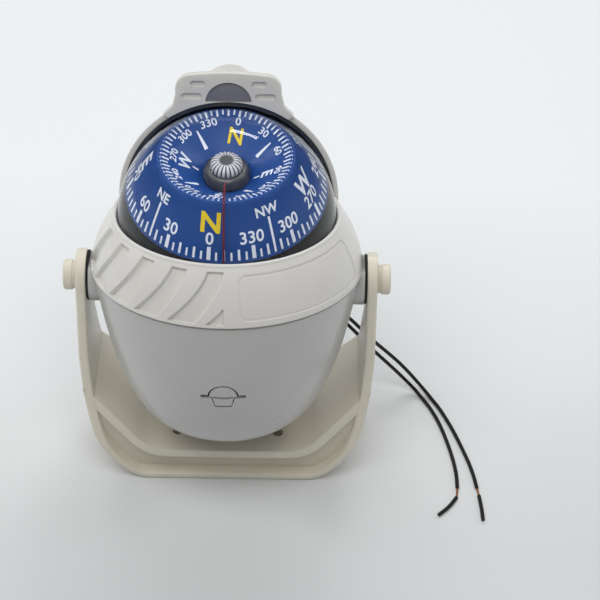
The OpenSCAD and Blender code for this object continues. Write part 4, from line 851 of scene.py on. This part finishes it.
def label(text, high, bold=1.0):
    # a word as a flat closed mesh in millimetres, centred, cut into narrow upright strips so that it can bend
    curve = bpy.data.curves.new("label", "FONT")
    curve.body, curve.size, curve.align_x = text, high / 0.7, "CENTER"
    curve.extrude, curve.offset, curve.resolution_u = card["printWall"], card["bold"] * high / 4 * bold, 3
    holder = bpy.data.objects.new("label", curve)
    bpy.context.scene.collection.objects.link(holder)
    bpy.context.view_layer.update()
    mesh = bpy.data.meshes.new_from_object(holder.evaluated_get(bpy.context.evaluated_depsgraph_get()))
    bpy.data.objects.remove(holder)
    work = bmesh.new()
    work.from_mesh(mesh)
    bpy.data.meshes.remove(mesh)
    bmesh.ops.remove_doubles(work, verts=work.verts, dist=1e-4)
    xs = [vert.co.x for vert in work.verts]
    for at in np.arange(min(xs) + card["cutEvery"] / 2, max(xs), card["cutEvery"]):
        bmesh.ops.bisect_plane(work, geom=work.verts[:] + work.edges[:] + work.faces[:], plane_co=(float(at), 0, 0),
                               plane_no=(1, 0, 0), dist=1e-5)
    work.verts.ensure_lookup_table()
    points = np.array([vert.co[:] for vert in work.verts])
    faces = [[vert.index for vert in face.verts] for face in work.faces]
    work.free()
    middle = (points.min(0) + points.max(0)) / 2
    size = points.max(0)[1] - points.min(0)[1]
    points = (points - [middle[0], middle[1], 0]) * [high / size, high / size, 1]
    return points, faces


def strip(low, high, lowWide, highWide, steps=6):
    # a straight bar as a flat closed mesh, across by along, in short lengths
    t = np.linspace(0, 1, steps + 1)
    half, along = (lowWide + (highWide - lowWide) * t) / 2, low + (high - low) * t
    wall = card["printWall"]
    points = np.stack([np.stack([sx * half, along, 0 * t + sz * wall], -1)
                       for sx, sz in ((-1, -1), (1, -1), (1, 1), (-1, 1))], 1).reshape(-1, 3)
    faces = quads(steps + 1, 4, False, True).tolist()
    return points, faces + [[3, 2, 1, 0], [steps * 4 + k for k in range(4)]]


def printer(surface, sign):
    # what lays a flat part on one of the card's surfaces, at a bearing and a distance along it
    def lay(part, bearing, middle=0.0):
        points, faces = part
        angle = sign * (bearing + card["turn"])
        return surface(angle, points[:, 0], points[:, 1] + middle, points[:, 2] + card["proud"]), faces
    return lay


def makeCard(v):
    slope = np.array([v["topRadius"] - v["lowRadius"], v["top"] - v["low"]])
    lip = arc((v["topRadius"] - v["rim"], v["top"] - v["rim"]), v["rim"], 10, 170, 9)
    skirt = np.concatenate([[(v["lowRadius"] - v["wall"], v["low"]), (v["lowRadius"] - 0.15, v["low"]),
                             (v["lowRadius"], v["low"] + 0.2)],
                            [(v["lowRadius"], v["low"]) + slope * t for t in np.linspace(0.03, 0.97, 12)], lip,
                            [(v["craterRim"] + 0.08, v["top"] - 1.2)]])
    dress(meshObject("cardSkirt", [spin(skirt, 240)], level), "blue", "card", ["card_skirt"])
    wall = v["wall"]
    crater = [(v["holeRadius"], v["holeTop"] - wall), (v["holeRadius"], v["holeTop"]),
              (v["craterRadius"], v["craterTop"]), (v["craterRim"], v["craterTop"]),
              (v["craterRim"], v["craterTop"] - wall * 1.1), (v["craterRadius"], v["craterTop"] - wall * 1.3),
              (v["holeRadius"] + 2 * wall, v["holeTop"] - wall)]
    dress(meshObject("cardCrater", [spin(crater, 240)], level), "blue", "card", ["card_crater"])


def makeOuterScale(v):
    lay, white = printer(onSkirt, -1), []
    for bearing in range(0, 360, 5):
        if bearing % 90 == 45:
            bar = strip(v["line"][1], v["line"][0], v["lineWide"], v["lineWide"] * 1.1, 10)
        else:
            high, wide = v["ticks"][30 if bearing % 30 == 0 else 10 if bearing % 10 == 0 else 5]
            bar = strip(v["tickLow"], v["tickLow"] + high, wide, wide * 0.92)
        white.append(lay(bar, bearing))
        if bearing % 30 == 0:
            white.append(lay(label(str(bearing), v["number"][1]), bearing, v["number"][0]))
    for bearing, text in ((45, "NE"), (135, "SE"), (225, "SW"), (315, "NW")):
        white.append(lay(label(text, v["between"][1], 1.6), bearing, v["between"][0]))
    for bearing, text in cardinals:
        white.append(lay(label(text, v["cardinal"][1], 1.8), bearing, v["cardinal"][0]))
    return white, [lay(label("N", v["north"][1], 1.8), 0, v["north"][0])]


def makeInnerScale(v):
    lay, white = printer(onCrater, 1), []
    for bearing in range(0, 360, 5):
        long, wide = v["ticks"][10 if bearing % 10 == 0 else 5]
        white.append(lay(strip(v["tickOut"] - long, v["tickOut"], wide, wide, 4), bearing))
        if bearing % 30 == 0:
            white.append(lay(label(str(bearing), v["number"][1], 0.8), bearing, v["number"][0]))
    for bearing in (45, 135, 225, 315):
        white.append(lay(strip(*v["wedge"], 6), bearing))
    low, high, wide = v["dash"]
    for bearing, text in cardinals:
        white.append(lay(label(text, v["cardinal"][1], 1.4), bearing, v["cardinal"][0]))
        white.append(lay(strip(low, high, wide, wide, 2), bearing))
    return white, [lay(label("N", v["north"][1], 1.4), 0, v["north"][0])]


makeCard(card)
for name, (white, north) in (("outer", makeOuterScale(outerScale)), ("inner", makeInnerScale(innerScale))):
    dress(meshObject(name + "ScalePrint", white, level), "print", "card")
    dress(meshObject(name + "NorthPrint", north, level), "yellow", "card")
print("card made")

# hub: a dark domed cap with a ribbed grey cap on it, and the red line from the hub down past the card
hub = {"radius": 7.0, "low": 16.0, "dome": 3.4, "topRadius": 5.3, "capRadius": 4.9, "capHigh": 3.2, "ribs": 20,
       "ribDeep": 0.6, "post": 2.2}
lubber = {"wide": 0.7, "wall": 0.55, "edge": 0.18, "path": [(5.3, 17.0), (8.5, 20.6), (14.0, 25.0), (20.5, 27.2),
          (23.6, 27.35), (25.0, 26.4), (26.2, 23.0), (29.0, 14.0), (31.1, 5.6), (31.35, 1.35)]}


def makeHub(v):
    a = np.radians(np.linspace(0, 90, 20))
    curve = np.column_stack([v["topRadius"] + (v["radius"] - v["topRadius"]) * np.cos(a),
                             v["low"] + v["dome"] * np.sin(a)])
    profile = np.concatenate([[(v["post"], v["low"]), (v["radius"] - 0.2, v["low"])], curve,
                              [(v["post"], v["low"] + v["dome"])]])
    dress(meshObject("hubDome", [spin(profile, 128)], level), "gloss", "gimbal_frame", ["hub_cap"])
    low = v["low"] + v["dome"]
    bend = np.linspace(0, 90, 12)                            # upright foot, then a rounded shoulder to a small flat top
    h = np.concatenate([[0.0, 0.0, 0.06], 0.3 + 0.7 * np.sin(np.radians(bend)), [1.0]])
    r = np.concatenate([[0.0, 0.97, 1.0], 0.45 + 0.55 * np.cos(np.radians(bend)), [0.0]])
    deep = np.concatenate([[0, 0.5, 1.0], 1.0 - 0.6 * np.sin(np.radians(bend)) ** 6, [0.0]])
    turn = np.linspace(0, 2 * np.pi, v["ribs"] * 10, endpoint=False)[:, None]
    groove = np.abs(np.sin(turn * v["ribs"] / 2)) ** 0.7
    radius = v["capRadius"] * r[None] - v["ribDeep"] * deep[None] * (1 - groove)
    points = np.stack([radius * np.cos(turn), radius * np.sin(turn), low + v["capHigh"] * h[None] + 0 * turn], -1)
    cap = meshObject("ribbedCap", [(points.reshape(-1, 3), quads(len(turn), len(r), True, False))], level, sharp=50)
    dress(cap, "grey", "gimbal_frame", ["ribbed_cap"])


def makeLubber(v):
    line = smoothLine(v["path"], 90)
    points, faces = ribbonAlong(line, v["wall"], v["wide"], v["edge"], 4)
    points = np.column_stack([points[:, 1], -points[:, 0], points[:, 2]])
    dress(meshObject("lubberLine", [(points, faces)], level), "red", "gimbal_frame", ["lubber_line"])


makeHub(hub)
makeLubber(lubber)
print("hub made")

# cover: a half-round lid with a tongue, over the compensator rod, set into the bowl's front
lid = {"radius": 5.2, "centreW": -26.8, "tongueHalf": 4.16, "tongueShare": 0.72, "tongueDeep": 4.6, "wall": 1.6,
       "seat": 0.9, "gap": 0.62, "footGap": 0.16, "slotLong": 2.5, "slotHigh": 1.9, "slitHalf": 3.6, "slitHigh": 0.5,
       "slitSag": 0.5, "footRoom": 0.45, "pin": 0.5, "pinHalf": 4.8, "pinAbove": 1.0,
       "slitDrop": 0.1, "slitDeep": 0.75, "through": (-60, -20), "outside": 2.0, "fit": 0.05}


def lidOutline(v, grow, footGrow, drop=0.0):
    # a half round over a trapezoid tongue, each grown by its own gap
    top = arc((0, 0), v["radius"] + grow, 0, 180, 40)
    half, low = v["tongueHalf"] + footGrow, -v["tongueDeep"] - footGrow
    foot = [(-v["radius"] - grow, -grow), (-half, -grow), (-half * v["tongueShare"], low),
            (half * v["tongueShare"], low), (half, -grow), (v["radius"] + grow, -grow)]
    return np.concatenate([top, foot]) - [0, drop]


def frontShell(outGrow, inGrow):
    # the bowl's wall between two offsets, as a closed spun band
    outer = bowlProfile(bowl["radius"] + outGrow, bowl["deep"] + outGrow, bowl, 60)
    inner = bowlProfile(bowl["radius"] + inGrow, bowl["deep"] + inGrow, bowl, 60)
    return meshObject("band", [spin(np.concatenate([outer[:-1], inner[:-1][::-1]]), 256)], leaned)


def radiusAt(w, inset):
    # the bowl's radius at a height, for the outer face or one set in from it
    line = bowlProfile(bowl["radius"] - inset, bowl["deep"] - inset, bowl, 200)
    return float(np.interp(-w, -line[:, 1], line[:, 0]))


def throughFront(name, outline):
    # an outline about the lid's centre, as a closed prism through the bowl's front
    return meshObject(name, [swapYZ(prism(outline, *lid["through"]))], lambda p: leaned(p + [0, 0, lid["centreW"]]))


def makeLid(v, shell):
    outline = lidOutline(v, -v["fit"], -v["fit"])
    cover = combine(frontShell(-v["fit"], -v["wall"]), [throughFront("outline", outline)], "INTERSECT")
    x = np.linspace(-v["slitHalf"], v["slitHalf"], 20)
    line = -v["slitSag"] * (1 - (x / v["slitHalf"]) ** 2) - v["slitDrop"]
    slit = np.concatenate([np.column_stack([x, line - v["slitHigh"]]),
                           np.column_stack([x, line + v["slitHigh"]])[::-1]])
    cutter = combine(throughFront("slit", slit), [frontShell(v["outside"], -v["slitDeep"])], "INTERSECT")
    cover = combine(cover, [cutter], "DIFFERENCE")
    # the cover takes the darker copy of the white plastic: painted shade
    dress(cover, "bowlWhitePaintedShade", "cover", ["compensator_cover"])
    seats = [throughFront("seat", lidOutline(v, v["gap"], v["footGap"])),
             throughFront("foot", lidOutline(v, v["footGap"], v["footGap"], v["footRoom"]))]
    for side in (-1, 1):
        middle = side * (v["radius"] + v["slotLong"] / 2 + v["gap"] / 2)
        seats.append(throughFront("sideSlot", stadium(middle, 0, v["slotLong"] + 1.0, v["slotHigh"])))
    cuts = []
    for k, seat in enumerate(seats):                         # the seat is deeper than the two side slots
        keep = frontShell(v["outside"], -v["wall"] - (v["seat"] if k < 2 else 0))
        cuts.append(combine(seat, [keep], "INTERSECT"))
    pinW = v["centreW"] - v["tongueDeep"] + v["pinAbove"]
    pinV = (radiusAt(pinW, 0) + radiusAt(pinW, v["wall"])) / 2
    pinBore = rod(v["pin"] + v["fit"], -v["pinHalf"], v["pinHalf"], "x", (-pinV, pinW), 24)
    combine(shell, cuts + [meshObject("pinBore", [pinBore], leaned)], "DIFFERENCE")
    # the bowl takes the darker copy of the white plastic: painted shade
    return dress(shell, "bowlWhitePaintedShade", "bowl", ["bowl"])


makeLid(lid, bowlShell)
print("cover made")

# floor, world and lamps
# the floor's colour runs from darker near the front to lighter far back: painted shade
studio = {"floorHalf": 2600.0, "floorNearPaintedShade": (206, 208, 209), "floorFar": (236, 239, 241), "nearY": -140.0,
          "farY": 170.0, "world": 0.2, "seen": (231, 235, 236)}
lamps = {  # place in mm, size in mm, watts, seen in reflections; each points at the dome
    "rearSky": ((0, 820, 1000), (1200, 800), 6.0, False),
    "frontSky": ((-120, -450, 1150), (1200, 700), 8.6, False),
    "leftBox": ((-900, 160, 260), (260, 900), 2.2, False),
    "rightBox": ((900, 160, 260), (260, 900), 1.8, False),
    "window": ((160, 681, 690), (300, 70), 0.7, True),
}


def makeStudio(v):
    size = v["floorHalf"]
    corners = np.array([(-size, -size, 0), (size, -size, 0), (size, size, 0), (-size, size, 0)])
    floor = meshObject("floor", [(corners, [[0, 1, 2, 3]])], tidy=False)
    made = Finish("floorPaper", Roughness=0.6, Specular_IOR_Level=0.25)
    # painted shade: the floor's colour darkens towards the front
    across = made.node("ShaderNodeSeparateXYZ", {"Vector": made.place()}, out="Y")
    nearness = made.node("ShaderNodeMapRange", {"Value": across, "From Min": v["nearY"] * mm,
                                                "From Max": v["farY"] * mm})
    made.feed(made.shader, "Base Color", made.mixed(nearness, tint(*v["floorNearPaintedShade"]), tint(*v["floorFar"])))
    floor.data.materials.append(made.material)
    world = bpy.data.worlds.new("studio")
    bpy.context.scene.world = world
    world.use_nodes = True
    nodes, links = world.node_tree.nodes, world.node_tree.links
    lit = nodes["Background"]
    lit.inputs["Color"].default_value, lit.inputs["Strength"].default_value = (1, 1, 1, 1), v["world"]
    seen = nodes.new("ShaderNodeBackground")
    seen.inputs["Color"].default_value, seen.inputs["Strength"].default_value = tint(*v["seen"]), 1.0
    path, either, mixed = (nodes.new("ShaderNode" + kind) for kind in ("LightPath", "Math", "MixShader"))
    either.operation = "MAXIMUM"
    links.new(path.outputs["Is Camera Ray"], either.inputs[0])
    links.new(path.outputs["Is Transmission Ray"], either.inputs[1])
    links.new(either.outputs[0], mixed.inputs[0])
    links.new(lit.outputs[0], mixed.inputs[1])
    links.new(seen.outputs[0], mixed.inputs[2])
    links.new(mixed.outputs[0], nodes["World Output"].inputs["Surface"])
    for name, (place, extent, watts, mirrored) in lamps.items():
        light = bpy.data.lights.new(name, "AREA")
        light.shape, light.size, light.size_y, light.energy = "RECTANGLE", extent[0] * mm, extent[1] * mm, watts
        lamp = bpy.data.objects.new(name, light)
        lamp.visible_glossy = mirrored
        bpy.context.scene.collection.objects.link(lamp)
        away = np.array(place, float) - domeCentre
        away /= np.linalg.norm(away)
        sideways = np.cross([0, 0, 1.0], away)
        sideways /= np.linalg.norm(sideways)
        aim(lamp, sideways, np.cross(away, sideways), away, np.array(place, float))


makeStudio(studio)
bpy.context.scene.view_settings.view_transform = "Standard"
print("studio made")
